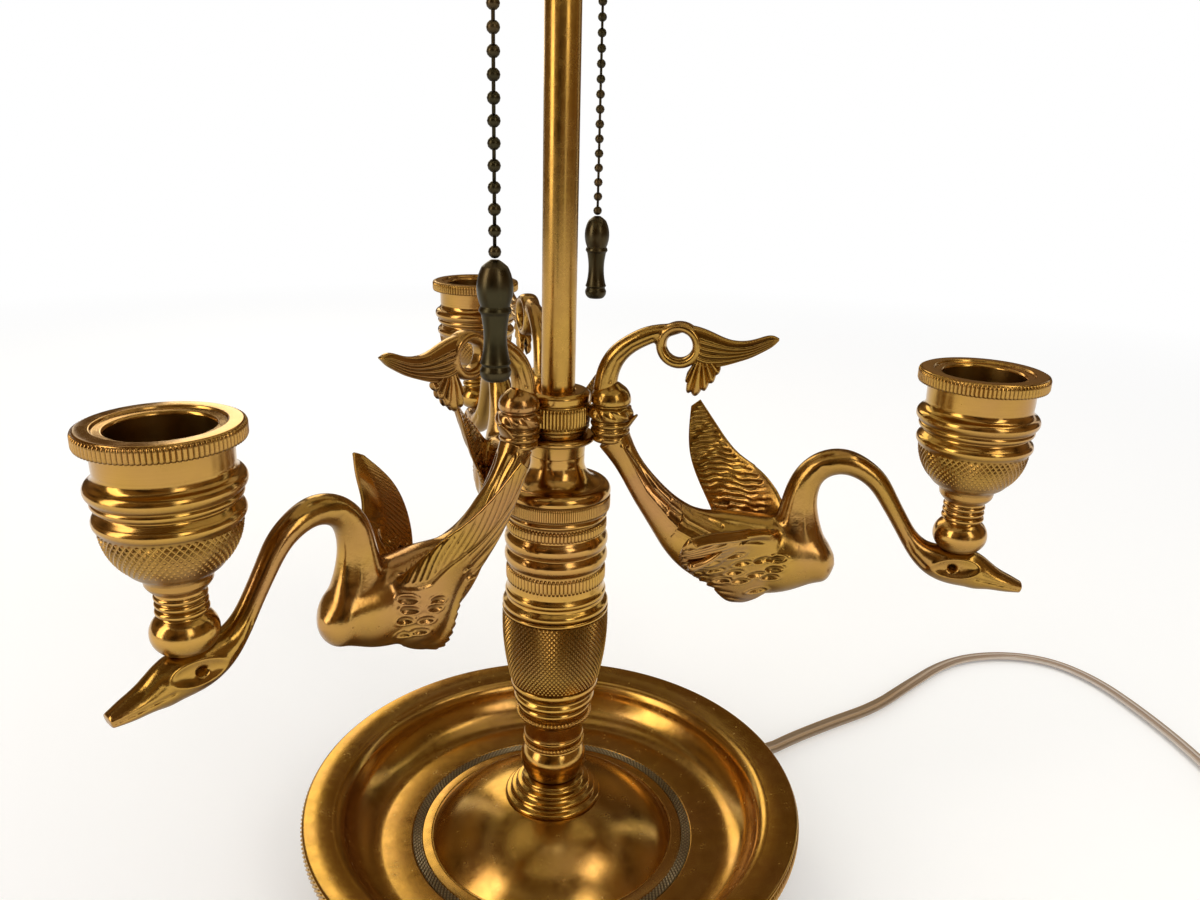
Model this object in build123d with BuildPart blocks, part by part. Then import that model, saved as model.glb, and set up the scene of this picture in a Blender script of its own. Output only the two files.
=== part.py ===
from build123d import *
from math import atan2, copysign, cos, degrees, pi, radians, sin, tan
import os

os.makedirs("parts", exist_ok=True)

# Two-light table lamp on a dished base, with three fixed swan arms that carry candle cups.
# Millimetres, +Z up. The origin is on the column's axis, on the surface that the lamp stands on.

# ---------------------------------------------------------------- fits
SLIP = 0.2            # radial room of a turned piece on the central pipe
RUNNING = 0.05        # radial room of a piece that slides or turns in a bore
AIR = 0.3             # room between pieces that lie against each other and move apart

# ---------------------------------------------------------------- central pipe and stem
PIPE_R = 4.8
PIPE_WALL = 1.4
PIPE_LOW_Z = 1.9
PIPE_IN_STEM = 12.0   # how far the pipe is screwed up into the stem
STEM_R = 5.4
STEM_LENGTH = 127.0

# ---------------------------------------------------------------- base
DISH_R = 89.3
RIM_Z = 30.0          # top of the dish's rim above the table
RIM_BAND_H = 5.0
LIP_IN_R = 75.5
DISH_FLOOR_Z = 13.5
DISH_WALL = 1.8
DOME_R = 45.0
DOME_TOP_R = 17.4
DOME_TOP_Z = 29.0
FELT_T = 1.5
FELT_PROUD = 1.5      # how far the felt shows round the foot
FOOT_R = 62.0
FOOT_WALL = 2.2
WEIGHT_ROOM = 4.8     # between the iron weight and the foot's inside
WEIGHT_T = 5.0
WASHER_R = 9.0
WASHER_T = 1.2
NUT_FLATS = 14.0
NUT_T = 3.4

# ---------------------------------------------------------------- column, from the base up
BOSS_H = 8.8
BOSS_R = 16.9
BALUSTER_H = 39.5
BALUSTER_R = 15.2
BARREL_H = 28.7
BARREL_R = 18.1
SLEEVE_H = 35.0
SLEEVE_R = 17.3
BELL_H = 19.0
BELL_R = 17.8
NECK_R = 8.8
COLLAR_H = 6.9
COLLAR_FLANGE_R = 12.2
COLLAR_FLANGE_T = 2.2
LOCK_RING_H = 10.8
LOCK_RING_R = 10.5
STEM_CAP_H = 3.7
STEM_CAP_R = 10.3
STEM_SEAT = 2.0       # depth of the stem's seat in its cap

# ---------------------------------------------------------------- swan arms
LEFT_AZ = -133.5
RIGHT_AZ = -13.5
BACK_AZ = 106.5
CUP_REACH = 127.4     # from the column's axis to a candle cup's axis
WRIST_REACH = 17.3    # from the column's axis to the axis of an arm's turned wrist
WRIST_R = 6.7
TANG_W = 5.0
TANG_H = 4.2
TANG_ROOT = 6.6       # how near the column's axis a tang ends
TANG_ROOM = 0.05
SCROLL_CENTRE = (38.1, 198.3)   # reach and height of the pierced ring
SCROLL_R = 6.6
SCROLL_HOLE_R = 4.5
SCROLL_T = 5.6
OVAL_SIDES = 12
WING_T = 2.8          # at a wing's root, in the middle of its width
WING_EDGE_T = 0.8
WING_BOW = 0.12       # rise of a wing's section over half its width

# ---------------------------------------------------------------- candle cups
CUP_LIP_R = 18.0
CUP_LIP_H = 5.0
CUP_BORE_R = 11.6
CUP_BORE_DEPTH = 24.0
CUP_RECESS_R = 14.0
CUP_H = 56.2          # from the foot on the swan's head to the lip
SPIGOT_R = 2.5
SPIGOT_L = 4.0
SPIGOT_ROOM = 0.1

# ---------------------------------------------------------------- light cluster
LIGHT_AZ = (-104.0, 78.0)
LIGHT_REACH = 42.0    # from the column's axis to a socket's axis
CLUSTER_SEAT = 8.0
CLUSTER_H = 28.0
CLUSTER_R = 13.0
BRANCH_R = 4.0
BRANCH_LOW = 14.0     # height of a branch's root above the cluster's underside
BRANCH_RISE = 15.0
BRANCH_BEND = 11.0
SOCKET_R = 17.5
SOCKET_WALL = 0.8
SOCKET_CAP_H = 15.0
SOCKET_SHELL_H = 43.0
SWITCH_BODY_H = 20.0
LINER_WALL = 0.7
SCREW_SHELL_R = 13.2  # inside, where the lamp's screw base goes
SCREW_SHELL_WALL = 0.6
SCREW_SHELL_H = 28.0
CONTACT_R = 3.0
CONTACT_H = 3.0

# ---------------------------------------------------------------- pull switches
OUTLET_REACH = 65.0   # from the column's axis to a hanging chain
OUTLET_R = 3.4
OUTLET_H = 12.9
OUTLET_BORE_R = 2.1
OUTLET_PIPE_R = 2.4
PULL_TRAVEL = 9.0
LINK_HEAD_R = 2.6
LINK_HEAD_H = 5.0
BEAD_R = 1.6
BEAD_PITCH = 5.0
BEADS = 21
BEAD_SIDES = 6
CHAIN_CORE_R = 0.6
HANDLE_R = 4.5
HANDLE_L = 30.0

# ---------------------------------------------------------------- shade
ROD_R = 3.2
ROD_L = 210.0
SHADE_LOW_Z = 346.0
SHADE_H = 150.0
SHADE_LOW_R = 175.0
SHADE_TOP_R = 85.0
SHADE_WALL = 0.6
CARRIER_R = 7.0
CARRIER_H = 16.0
CARRIER_DROP = 6.0    # carrier's top below the shade's top edge
SPOKE_R = 1.6
SPIDER_RING_W = 3.0
THUMBSCREW_R = 1.8
THUMBSCREW_L = 9.0
THUMB_R = 6.0
THUMB_T = 2.4
FINIAL_H = 26.0
FINIAL_R = 8.0

# ---------------------------------------------------------------- cord
CORD_R = 2.3
CORD_LENGTH = 1800.0
CORD_AZ = 32.0
CORD_EXIT_Z = 6.5
RELIEF_R = 4.0
RELIEF_TIP_R = 2.9
RELIEF_L = 19.0
RELIEF_FLANGE_R = 5.0
RELIEF_FLANGE_T = 1.4
COIL_CENTRE = (316.6, 14.0)
COIL_R = 26.0         # middle of the turns
COIL_TURNS_WIDE = 3
COIL_TURNS_HIGH = 3
COIL_LEAD = 17.0      # straight stretch between the coil's middle line and where the cord joins it
PLUG_L = 26.0
PLUG_W = 21.0
PLUG_H = 11.0
BLADE_L = 16.0
BLADE_W = 6.3
BLADE_T = 1.5
BLADE_GAP = 12.7
ON_TABLE = CORD_R + 0.05
CORD_ROUTE = [
    (102.0, 66.0, ON_TABLE),
    (126.0, 81.5, ON_TABLE),
    (152.0, 96.0, ON_TABLE),
    (174.0, 116.0, ON_TABLE),
    (203.0, 140.0, ON_TABLE),
    (231.0, 147.0, ON_TABLE),
    (257.0, 140.0, ON_TABLE),
    (273.0, 121.0, ON_TABLE),
    (281.0, 92.0, ON_TABLE),
    (286.0, 58.0, ON_TABLE),
]

# ---------------------------------------------------------------- radii and heights worked out from the above
SEAT_R = PIPE_R + SLIP
WALL_FOOT_R = FOOT_R  # the dish's wall meets its floor over the foot
FELT_R = FOOT_R + FELT_PROUD
WEIGHT_R = FOOT_R - FOOT_WALL - WEIGHT_ROOM
STEM_SEAT_R = STEM_R + RUNNING
STEM_BORE_R = PIPE_R + RUNNING
WEIGHT_TOP_Z = DISH_FLOOR_Z - DISH_WALL
WEIGHT_LOW_Z = WEIGHT_TOP_Z - WEIGHT_T
WASHER_LOW_Z = WEIGHT_LOW_Z - WASHER_T
NUT_LOW_Z = WASHER_LOW_Z - NUT_T
BALUSTER_Z = DOME_TOP_Z + BOSS_H
BARREL_Z = BALUSTER_Z + BALUSTER_H
SLEEVE_Z = BARREL_Z + BARREL_H
BELL_Z = SLEEVE_Z + SLEEVE_H
COLLAR_Z = BELL_Z + BELL_H
LOCK_RING_Z = COLLAR_Z + COLLAR_H
STEM_CAP_Z = LOCK_RING_Z + LOCK_RING_H
STEM_Z = STEM_CAP_Z + STEM_CAP_H - STEM_SEAT
STEM_TOP_Z = STEM_Z + STEM_LENGTH
CLUSTER_Z = STEM_TOP_Z - CLUSTER_SEAT
CLUSTER_TOP_Z = CLUSTER_Z + CLUSTER_H
BRANCH_Z = CLUSTER_Z + BRANCH_LOW
SOCKET_Z = BRANCH_Z + BRANCH_RISE
SHELL_Z = SOCKET_Z + SOCKET_CAP_H
SWITCH_BODY_Z = SOCKET_Z + 6.0
SWITCH_BODY_TOP_Z = SWITCH_BODY_Z + SWITCH_BODY_H
CONTACT_Z = SWITCH_BODY_TOP_Z - CONTACT_H - 0.4
OUTLET_PIPE_Z = SHELL_Z + 6.0
OUTLET_Z = OUTLET_PIPE_Z - OUTLET_H + OUTLET_PIPE_R + 1.2
LINK_HEAD_Z = OUTLET_Z - AIR - LINK_HEAD_H
CHAIN_TOP_Z = LINK_HEAD_Z - AIR - BEAD_R
HANDLE_TOP_Z = CHAIN_TOP_Z - (BEADS - 1) * BEAD_PITCH - BEAD_R - AIR
ROD_TOP_Z = CLUSTER_TOP_Z + ROD_L
SHADE_TOP_Z = SHADE_LOW_Z + SHADE_H
CARRIER_TOP_Z = SHADE_TOP_Z - CARRIER_DROP
CARRIER_Z = CARRIER_TOP_Z - CARRIER_H
HEAD_Z = 140.6        # top of a swan's head, where a candle cup stands


# ---------------------------------------------------------------- helpers
def save(piece, label):
    """Label a finished piece and write it as one STEP file."""
    piece.part.label = label
    export_step(piece.part, f"parts/{label}.step")


def outline(plane, start, *steps):
    """A closed face on a plane; a step of two numbers is a line, of four an arc through a point to an end."""
    with BuildSketch(plane) as face:
        with BuildLine():
            here = start
            for step in steps:
                if len(step) == 2:
                    Line(here, step)
                else:
                    ThreePointArc(here, step[:2], step[2:])
                here = step[-2:]
            Line(here, start)
        make_face()
    return face.sketch


def turn(start, *steps, centre=(0, 0)):
    """Revolve a closed (radius, height) outline about the upright axis through centre."""
    plane = Plane(origin=(*centre, 0), x_dir=(1, 0, 0), z_dir=(0, -1, 0))
    revolve(outline(plane, start, *steps), axis=Axis((*centre, 0), (0, 0, 1)))


def polar(reach, azimuth, height=0.0):
    """A point at a distance from the column's axis, an azimuth in degrees and a height."""
    return (reach * cos(radians(azimuth)), reach * sin(radians(azimuth)), height)


def bore(radius, low, high, centre=(0, 0)):
    """Cut a round upright hole from one height to another."""
    with BuildSketch(Plane.XY.offset(low)) as disc:
        with Locations(centre):
            Circle(radius)
    extrude(disc.sketch, amount=high - low, mode=Mode.SUBTRACT)


# ---------------------------------------------------------------- base pieces
def dish():
    """Spun dish: reeded rim, broad lip, hollow wall, flat floor and a dome that carries the column."""
    low = WEIGHT_TOP_Z
    lip_z = RIM_Z - 2.0
    turn(
        (SEAT_R, DOME_TOP_Z),
        (DOME_TOP_R, DOME_TOP_Z),
        (0.72 * DOME_R, DOME_TOP_Z - 0.38 * (DOME_TOP_Z - DISH_FLOOR_Z), DOME_R, DISH_FLOOR_Z),
        (WALL_FOOT_R, DISH_FLOOR_Z),
        (LIP_IN_R - 3.2, DISH_FLOOR_Z + 5.2, LIP_IN_R, lip_z),
        (0.94 * DISH_R, RIM_Z),
        (DISH_R - 0.8, RIM_Z),
        (DISH_R, RIM_Z - 0.8),
        (DISH_R, RIM_Z - RIM_BAND_H),
        (DISH_R - 1.4, RIM_Z - RIM_BAND_H - 0.6),
        (LIP_IN_R + DISH_WALL + 0.6, lip_z - DISH_WALL),
        (LIP_IN_R - 1.9, low + 4.4, WALL_FOOT_R + 0.6, low),
        (DOME_R + 0.6, low),
        (0.72 * DOME_R - 1.0, DOME_TOP_Z - 0.38 * (DOME_TOP_Z - DISH_FLOOR_Z) - DISH_WALL,
         DOME_TOP_R, DOME_TOP_Z - DISH_WALL),
        (SEAT_R, DOME_TOP_Z - DISH_WALL),
    )


with BuildPart() as base_dish:
    dish()
save(base_dish, "base_dish")

with BuildPart() as foot_ring:
    turn(
        (FOOT_R - FOOT_WALL, FELT_T),
        (FOOT_R, FELT_T),
        (FOOT_R, WEIGHT_TOP_Z),
        (FOOT_R - FOOT_WALL, WEIGHT_TOP_Z),
    )
    gland_plane = Plane(origin=(0, 0, CORD_EXIT_Z), z_dir=polar(1, CORD_AZ))
    with BuildSketch(gland_plane):
        Circle(RELIEF_R + RUNNING)
    extrude(amount=FELT_R + RELIEF_FLANGE_R, mode=Mode.SUBTRACT)
save(foot_ring, "foot_ring")

with BuildPart() as base_weight:
    turn((SEAT_R, WEIGHT_LOW_Z), (WEIGHT_R, WEIGHT_LOW_Z), (WEIGHT_R, WEIGHT_TOP_Z), (SEAT_R, WEIGHT_TOP_Z))
save(base_weight, "base_weight")

with BuildPart() as felt_pad:
    with BuildSketch():
        Circle(FELT_R)
    extrude(amount=FELT_T)
save(felt_pad, "felt_pad")

with BuildPart() as base_washer:
    turn((SEAT_R, WASHER_LOW_Z), (WASHER_R, WASHER_LOW_Z), (WASHER_R, WEIGHT_LOW_Z), (SEAT_R, WEIGHT_LOW_Z))
save(base_washer, "base_washer")

with BuildPart() as base_nut:
    with BuildSketch(Plane.XY.offset(NUT_LOW_Z)):
        RegularPolygon(NUT_FLATS / 2, 6, major_radius=False)
        Circle(PIPE_R + RUNNING, mode=Mode.SUBTRACT)
    extrude(amount=NUT_T)
save(base_nut, "base_nut")

with BuildPart() as threaded_pipe:
    pipe_top = STEM_Z + PIPE_IN_STEM
    turn(
        (PIPE_R - PIPE_WALL, PIPE_LOW_Z),
        (PIPE_R, PIPE_LOW_Z),
        (PIPE_R, pipe_top),
        (PIPE_R - PIPE_WALL, pipe_top),
    )
save(threaded_pipe, "threaded_pipe")

# ---------------------------------------------------------------- column pieces
with BuildPart() as foot_boss:
    z = DOME_TOP_Z
    turn(
        (SEAT_R, z),
        (BOSS_R, z),
        (BOSS_R, z + 1.5),
        (BOSS_R - 1.9, z + 2.6),
        (BOSS_R - 1.9, z + 3.8),
        (BOSS_R - 3.9, z + 5.0),
        (BOSS_R - 3.9, z + 6.2),
        (BOSS_R - 6.1, z + 7.2),
        (BOSS_R - 6.1, z + BOSS_H - 0.7),
        (BOSS_R - 7.5, z + BOSS_H),
        (SEAT_R, z + BOSS_H),
    )
save(foot_boss, "foot_boss")

with BuildPart() as lower_baluster:
    z = BALUSTER_Z
    top = BARREL_Z
    turn(
        (SEAT_R, z),
        (9.3, z),
        (11.6, z + 7.0, 9.9, z + 12.7),
        (10.5, z + 13.4),
        (10.5, z + 15.5),
        (9.9, z + 16.1),
        (10.8, z + 17.0),
        (10.4, z + 18.2),
        (10.4, z + 23.4),
        (12.6, z + 24.9),
        (12.6, z + 27.6),
        (12.9, z + 29.0),
        (13.4, z + 29.8),
        (13.0, z + 31.0),
        (14.0, z + 33.0),
        (13.8, z + 34.6),
        (BALUSTER_R - 0.6, z + 36.8),
        (BALUSTER_R, top),
        (SEAT_R, top),
    )
save(lower_baluster, "lower_baluster")

with BuildPart() as knurled_barrel:
    z = BARREL_Z
    top = SLEEVE_Z
    turn(
        (SEAT_R, z),
        (BALUSTER_R, z),
        (BARREL_R - 0.9, z + 0.3 * BARREL_H, BARREL_R, top - 1.2),
        (BARREL_R - 0.3, top),
        (SEAT_R, top),
    )
save(knurled_barrel, "knurled_barrel")

with BuildPart() as ribbed_sleeve:
    z = SLEEVE_Z
    top = BELL_Z
    turn(
        (SEAT_R, z),
        (SLEEVE_R + 0.5, z),
        (SLEEVE_R + 0.5, z + 2.6),
        (SLEEVE_R - 0.4, z + 5.0),
        (SLEEVE_R - 0.2, z + 7.4),
        (SLEEVE_R - 0.9, z + 8.9),
        (SLEEVE_R - 0.5, z + 9.8),
        (SLEEVE_R - 0.5, z + 15.2),
        (SLEEVE_R - 0.8, z + 16.9),
        (SLEEVE_R, z + 19.3),
        (SLEEVE_R - 0.9, z + 22.0),
        (SLEEVE_R, z + 24.7),
        (SLEEVE_R - 0.7, z + 27.2),
        (SLEEVE_R - 0.5, z + 28.4),
        (SLEEVE_R - 0.5, z + 32.1),
        (SLEEVE_R - 1.0, z + 32.9),
        (SLEEVE_R - 0.2, z + 34.0),
        (SLEEVE_R - 0.2, top),
        (SEAT_R, top),
    )
save(ribbed_sleeve, "ribbed_sleeve")

with BuildPart() as bell_cap:
    z = BELL_Z
    top = COLLAR_Z
    turn(
        (SEAT_R, z),
        (BELL_R - 0.4, z),
        (BELL_R, z + 0.8),
        (BELL_R, z + 5.4),
        (BELL_R - 0.9, z + 8.2, 13.5, z + 9.7),
        (NECK_R + 0.9, z + 12.4, NECK_R, z + 16.4),
        (NECK_R, top),
        (SEAT_R, top),
    )
save(bell_cap, "bell_cap")


def tang_section(azimuth, room):
    """The upright cross-section of an arm's tang on its radial line, at the tang's root."""
    plane = Plane(
        origin=polar(TANG_ROOT - room, azimuth, LOCK_RING_Z - COLLAR_FLANGE_T - TANG_H / 2),
        x_dir=(-sin(radians(azimuth)), cos(radians(azimuth)), 0),
        z_dir=polar(1, azimuth),
    )
    with BuildSketch(plane) as section:
        Rectangle(TANG_W + 2 * room, TANG_H + 2 * room)
    return section.sketch


with BuildPart() as arm_collar:
    z = COLLAR_Z
    flange_z = LOCK_RING_Z - COLLAR_FLANGE_T
    turn(
        (SEAT_R, z),
        (NECK_R + 0.4, z),
        (NECK_R + 0.4, flange_z),
        (COLLAR_FLANGE_R, flange_z),
        (COLLAR_FLANGE_R, LOCK_RING_Z - 0.5),
        (COLLAR_FLANGE_R - 0.6, LOCK_RING_Z),
        (SEAT_R, LOCK_RING_Z),
    )
    for azimuth in (LEFT_AZ, RIGHT_AZ, BACK_AZ):
        extrude(tang_section(azimuth, TANG_ROOM), amount=WRIST_REACH, mode=Mode.SUBTRACT)
save(arm_collar, "arm_collar")

with BuildPart() as lock_ring:
    z = LOCK_RING_Z
    top = STEM_CAP_Z
    turn(
        (SEAT_R, z),
        (LOCK_RING_R - 0.9, z),
        (LOCK_RING_R - 0.8, z + 1.7),
        (LOCK_RING_R, z + 3.0),
        (LOCK_RING_R, top - 0.5),
        (LOCK_RING_R - 0.4, top),
        (SEAT_R, top),
    )
save(lock_ring, "lock_ring")

with BuildPart() as stem_cap:
    z = STEM_CAP_Z
    top = z + STEM_CAP_H
    turn(
        (SEAT_R, z),
        (STEM_CAP_R - 0.2, z),
        (STEM_CAP_R, z + 0.6),
        (STEM_CAP_R, top - 0.8),
        (STEM_CAP_R - 0.9, top),
        (STEM_SEAT_R, top),
        (STEM_SEAT_R, STEM_Z),
        (SEAT_R, STEM_Z),
    )
save(stem_cap, "stem_cap")

with BuildPart() as stem_tube:
    turn(
        (STEM_BORE_R, STEM_Z),
        (STEM_R, STEM_Z),
        (STEM_R, STEM_TOP_Z),
        (STEM_BORE_R, STEM_TOP_Z),
    )
save(stem_tube, "stem_tube")


# ---------------------------------------------------------------- swan arms
def arm_point(azimuth, reach, side, height):
    """A point of an arm: reach along its radial line, side to the left of it, height above the table."""
    a = radians(azimuth)
    return (reach * cos(a) - side * sin(a), reach * sin(a) + side * cos(a), height)


def station(azimuth, reach, height, heading, half_deep, half_wide):
    """A many-sided oval across the casting's centre line, which heads up by heading degrees."""
    a = radians(azimuth)
    h = radians(heading)
    ahead = (cos(h) * cos(a), cos(h) * sin(a), sin(h))
    across = (-sin(h) * cos(a), -sin(h) * sin(a), cos(h))
    turns = [2 * pi * i / OVAL_SIDES for i in range(OVAL_SIDES)]
    plane = Plane(origin=arm_point(azimuth, reach, 0, height), x_dir=across, z_dir=ahead)
    with BuildSketch(plane) as oval:
        Polygon(*[(half_deep * cos(t), half_wide * sin(t)) for t in turns], align=None)
    return oval.sketch


def body_and_tail(azimuth):
    """Tail bar that swells into the swan's boat-shaped body and closes at the breast."""
    stations = [
        (18.6, 166.5, -60, 5.4, 5.2),
        (22.6, 160.2, -57, 4.4, 4.3),
        (29.2, 150.7, -54, 5.1, 4.5),
        (37.4, 141.6, -46, 7.2, 5.4),
        (45.5, 135.4, -28, 10.6, 7.2),
        (56.0, 132.2, -6, 13.0, 9.4),
        (67.0, 131.8, 2, 13.2, 10.4),
        (77.0, 132.8, 8, 11.6, 9.8),
        (84.8, 133.2, 8, 8.8, 7.6),
        (89.6, 132.6, 8, 4.8, 4.4),
        (91.0, 132.4, 8, 1.6, 1.6),
    ]
    loft([station(azimuth, r, z, heading, deep, wide) for r, z, heading, deep, wide in stations])


def neck_and_head(azimuth):
    """S-curved neck and the level head and beak that carry a candle cup."""
    stations = [
        (79.6, 134.0, 92, 9.8, 7.6),
        (78.6, 141.5, 90, 8.0, 6.6),
        (78.4, 149.5, 86, 5.9, 5.4),
        (79.4, 156.6, 74, 4.9, 4.9),
        (81.6, 161.0, 54, 4.4, 4.6),
        (85.4, 164.1, 24, 4.2, 4.4),
        (91.2, 165.2, -4, 3.9, 4.2),
        (96.4, 163.5, -30, 3.5, 3.9),
        (101.2, 159.9, -48, 3.2, 3.6),
        (105.4, 154.0, -58, 2.85, 3.3),
        (109.3, 147.8, -57, 2.7, 3.2),
        (112.9, 142.4, -54, 2.9, 3.5),
        (116.8, 138.4, -38, 3.9, 4.2),
        (121.0, 136.0, -20, 5.2, 4.9),
        (126.7, 134.6, -6, 5.9, 5.2),
        (131.8, 133.8, -6, 5.4, 4.6),
        (136.4, 132.2, -14, 3.7, 3.4),
        (141.4, 130.7, -14, 2.5, 2.6),
        (147.0, 129.4, -14, 1.1, 1.6),
    ]
    loft([station(azimuth, r, z, heading, deep, wide) for r, z, heading, deep, wide in stations])


def wrist(azimuth):
    """Turned knuckle of balls and rings between the tail bar and the scroll."""
    low = 166.0
    centre = polar(WRIST_REACH, azimuth)[:2]
    turn(
        (0, low),
        (4.6, low),
        (WRIST_R - 0.6, low + 2.2),
        (WRIST_R, low + 4.6),
        (WRIST_R - 0.4, low + 6.8),
        (WRIST_R - 1.2, low + 7.6),
        (WRIST_R - 0.2, low + 9.6),
        (WRIST_R - 0.5, low + 12.6),
        (WRIST_R - 1.4, low + 13.6),
        (WRIST_R - 0.9, low + 15.6),
        (WRIST_R - 2.0, low + 18.6),
        (3.6, low + 21.0),
        (0, low + 21.0),
        centre=centre,
    )


def scroll(azimuth):
    """Stem that rises from the wrist and curls over into a pierced ring, a long leaf and a fluted fan."""
    stem = [
        (15.2, 182.0, 84, 3.8, 4.0),
        (16.2, 188.6, 74, 3.5, 3.8),
        (19.0, 194.0, 52, 3.2, 3.5),
        (23.4, 197.9, 36, 2.9, 3.2),
        (28.4, 200.6, 22, 2.8, 2.9),
        (33.6, 202.0, 4, 2.4, 2.7),
    ]
    loft([station(azimuth, r, z, heading, deep, wide) for r, z, heading, deep, wide in stem])
    leaf = [
        (40.0, 199.4, -16, 5.8, SCROLL_T / 2),
        (44.4, 198.2, -14, 6.2, SCROLL_T / 2),
        (49.6, 197.2, -6, 5.0, 2.4),
        (56.0, 197.6, 10, 3.2, 2.0),
        (62.0, 199.4, 20, 2.3, 1.6),
        (68.0, 202.1, 26, 0.8, 0.8),
    ]
    loft([station(azimuth, r, z, heading, deep, wide) for r, z, heading, deep, wide in leaf])
    side = Plane(origin=(0, 0, 0), x_dir=polar(1, azimuth), z_dir=arm_point(azimuth, 0, -1, 0))
    with BuildSketch(side) as ring:
        with Locations(SCROLL_CENTRE):
            Circle(SCROLL_R)
    extrude(ring.sketch, amount=SCROLL_T / 2, both=True)
    fan_root = (44.6, 195.0)
    for tip, thick in (((41.9, 183.4), 1.3), ((44.6, 183.0), 1.3), ((47.1, 185.4), 1.4),
                       ((49.2, 188.2), 1.4), ((51.0, 191.6), 1.4)):
        heading = degrees(atan2(tip[1] - fan_root[1], tip[0] - fan_root[0]))
        loft([station(azimuth, *fan_root, heading, 0.9, 1.4),
              station(azimuth, *tip, heading, thick, 1.5)])
    with BuildSketch(side) as hole:
        with Locations(SCROLL_CENTRE):
            Circle(SCROLL_HOLE_R)
    extrude(hole.sketch, amount=2 * SCROLL_T, both=True, mode=Mode.SUBTRACT)


def wing(azimuth, leading, trailing):
    """Bowed wing blade: thin lens-shaped sections that span from its leading edge to its trailing edge."""
    outward = copysign(1, leading[-1][1])
    front = [Vector(*arm_point(azimuth, *point)) for point in leading]
    back = [Vector(*arm_point(azimuth, *point)) for point in trailing]
    count = len(front)
    lenses = []
    for i in range(count):
        j = min(i + 1, count - 1)
        chord = back[i] - front[i]
        ahead = front[j] + back[j] - front[j - 1] - back[j - 1]
        ahead = ahead - chord * (ahead.dot(chord) / chord.dot(chord))
        half = chord.length / 2
        thin = WING_T / 2 * (1 - 0.5 * i / (count - 1))
        bow = -outward * WING_BOW * half
        plane = Plane(origin=(front[i] + back[i]) / 2, x_dir=chord, z_dir=ahead)
        lenses.append(outline(
            plane,
            (-half, -WING_EDGE_T / 2),
            (0, bow - thin, half, -WING_EDGE_T / 2),
            (half, WING_EDGE_T / 2),
            (0, bow + thin, -half, WING_EDGE_T / 2),
        ))
    loft(lenses)


# Edge points of a wing: reach, side, height.
HIGH_LEADING = [(74, 3, 139), (71, 8, 143), (64.5, 13, 150),
                (56.5, 19, 157), (49, 24, 165.5), (43.2, 27.4, 174)]
HIGH_TRAILING = [(60, 3, 116), (57.5, 9, 116), (53.5, 13, 129),
                 (48.5, 17.5, 142), (42.5, 22, 156), (40.6, 27.2, 171.5)]
SPREAD_LEADING = [(74, 3, 139), (71, 8, 144), (66, 15, 150),
                  (61, 22, 154.5), (57.5, 28, 159.5), (55.9, 32.6, 165)]
SPREAD_TRAILING = [(60, 3, 116), (57.5, 9, 116), (52, 13, 131),
                   (48, 19, 145), (46.5, 25, 155), (52.6, 31.6, 163.4)]
LOW_LEADING = [(74, 3, 139), (71.5, 8, 144), (66, 16, 147.0),
               (60, 24, 147.3), (54.3, 31, 147.2), (49.9, 36.6, 147.3)]
LOW_TRAILING = [(60, 3, 116), (57.5, 9, 116), (51, 15, 123),
                (46, 22, 131), (44.4, 30, 138.5), (47.5, 36, 144.7)]


def mirrored(points):
    """The same edge on the other side of the arm."""
    return [(reach, -side, height) for reach, side, height in points]


ARM_WINGS = {
    "left": (LEFT_AZ, SPREAD_LEADING, SPREAD_TRAILING),
    "right": (RIGHT_AZ, LOW_LEADING, LOW_TRAILING),
    "back": (BACK_AZ, HIGH_LEADING, HIGH_TRAILING),
}

for name, (azimuth, second_leading, second_trailing) in ARM_WINGS.items():
    with BuildPart() as swan_arm:
        body_and_tail(azimuth)
        neck_and_head(azimuth)
        wrist(azimuth)
        scroll(azimuth)
        wing(azimuth, HIGH_LEADING, HIGH_TRAILING)
        wing(azimuth, mirrored(second_leading), mirrored(second_trailing))
        extrude(tang_section(azimuth, 0), amount=WRIST_REACH - TANG_ROOT)
        seat = polar(CUP_REACH, azimuth)[:2]
        bore(SPIGOT_R + SPIGOT_ROOM, HEAD_Z - SPIGOT_L - SPIGOT_ROOM, HEAD_Z + 4, seat)
        bore(6.6, HEAD_Z, HEAD_Z + 4, seat)
    save(swan_arm, f"swan_arm_{name}")


# ---------------------------------------------------------------- candle cups
def candle_cup(azimuth):
    """Turned cup: lip, two rings, bulge, waisted stem, ball and a spigot in the swan's head."""
    z = HEAD_Z
    top = HEAD_Z + CUP_H
    bore_z = top - CUP_BORE_DEPTH
    turn(
        (0, z - SPIGOT_L),
        (SPIGOT_R, z - SPIGOT_L),
        (SPIGOT_R, z),
        (5.2, z),
        (7.7, z + 5.0, 5.3, z + 9.8),
        (5.3, z + 16.6),
        (7.6, z + 17.8),
        (8.0, z + 19.6),
        (11.4, z + 21.4),
        (15.2, z + 26.4),
        (16.5, z + 34.0),
        (15.2, z + 37.6),
        (17.2, z + 40.4),
        (15.4, z + 43.2),
        (16.3, z + 45.2),
        (15.0, z + 48.6),
        (15.4, z + CUP_H - CUP_LIP_H),
        (CUP_LIP_R, top - CUP_LIP_H),
        (CUP_LIP_R, top - 0.5),
        (CUP_LIP_R - 0.5, top),
        (CUP_RECESS_R, top),
        (CUP_RECESS_R, top - 0.8),
        (CUP_BORE_R, top - 0.8),
        (CUP_BORE_R, bore_z),
        (0, bore_z),
        centre=polar(CUP_REACH, azimuth)[:2],
    )


for name, (azimuth, _, _) in ARM_WINGS.items():
    with BuildPart() as cup:
        candle_cup(azimuth)
    save(cup, f"candle_cup_{name}")

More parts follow.
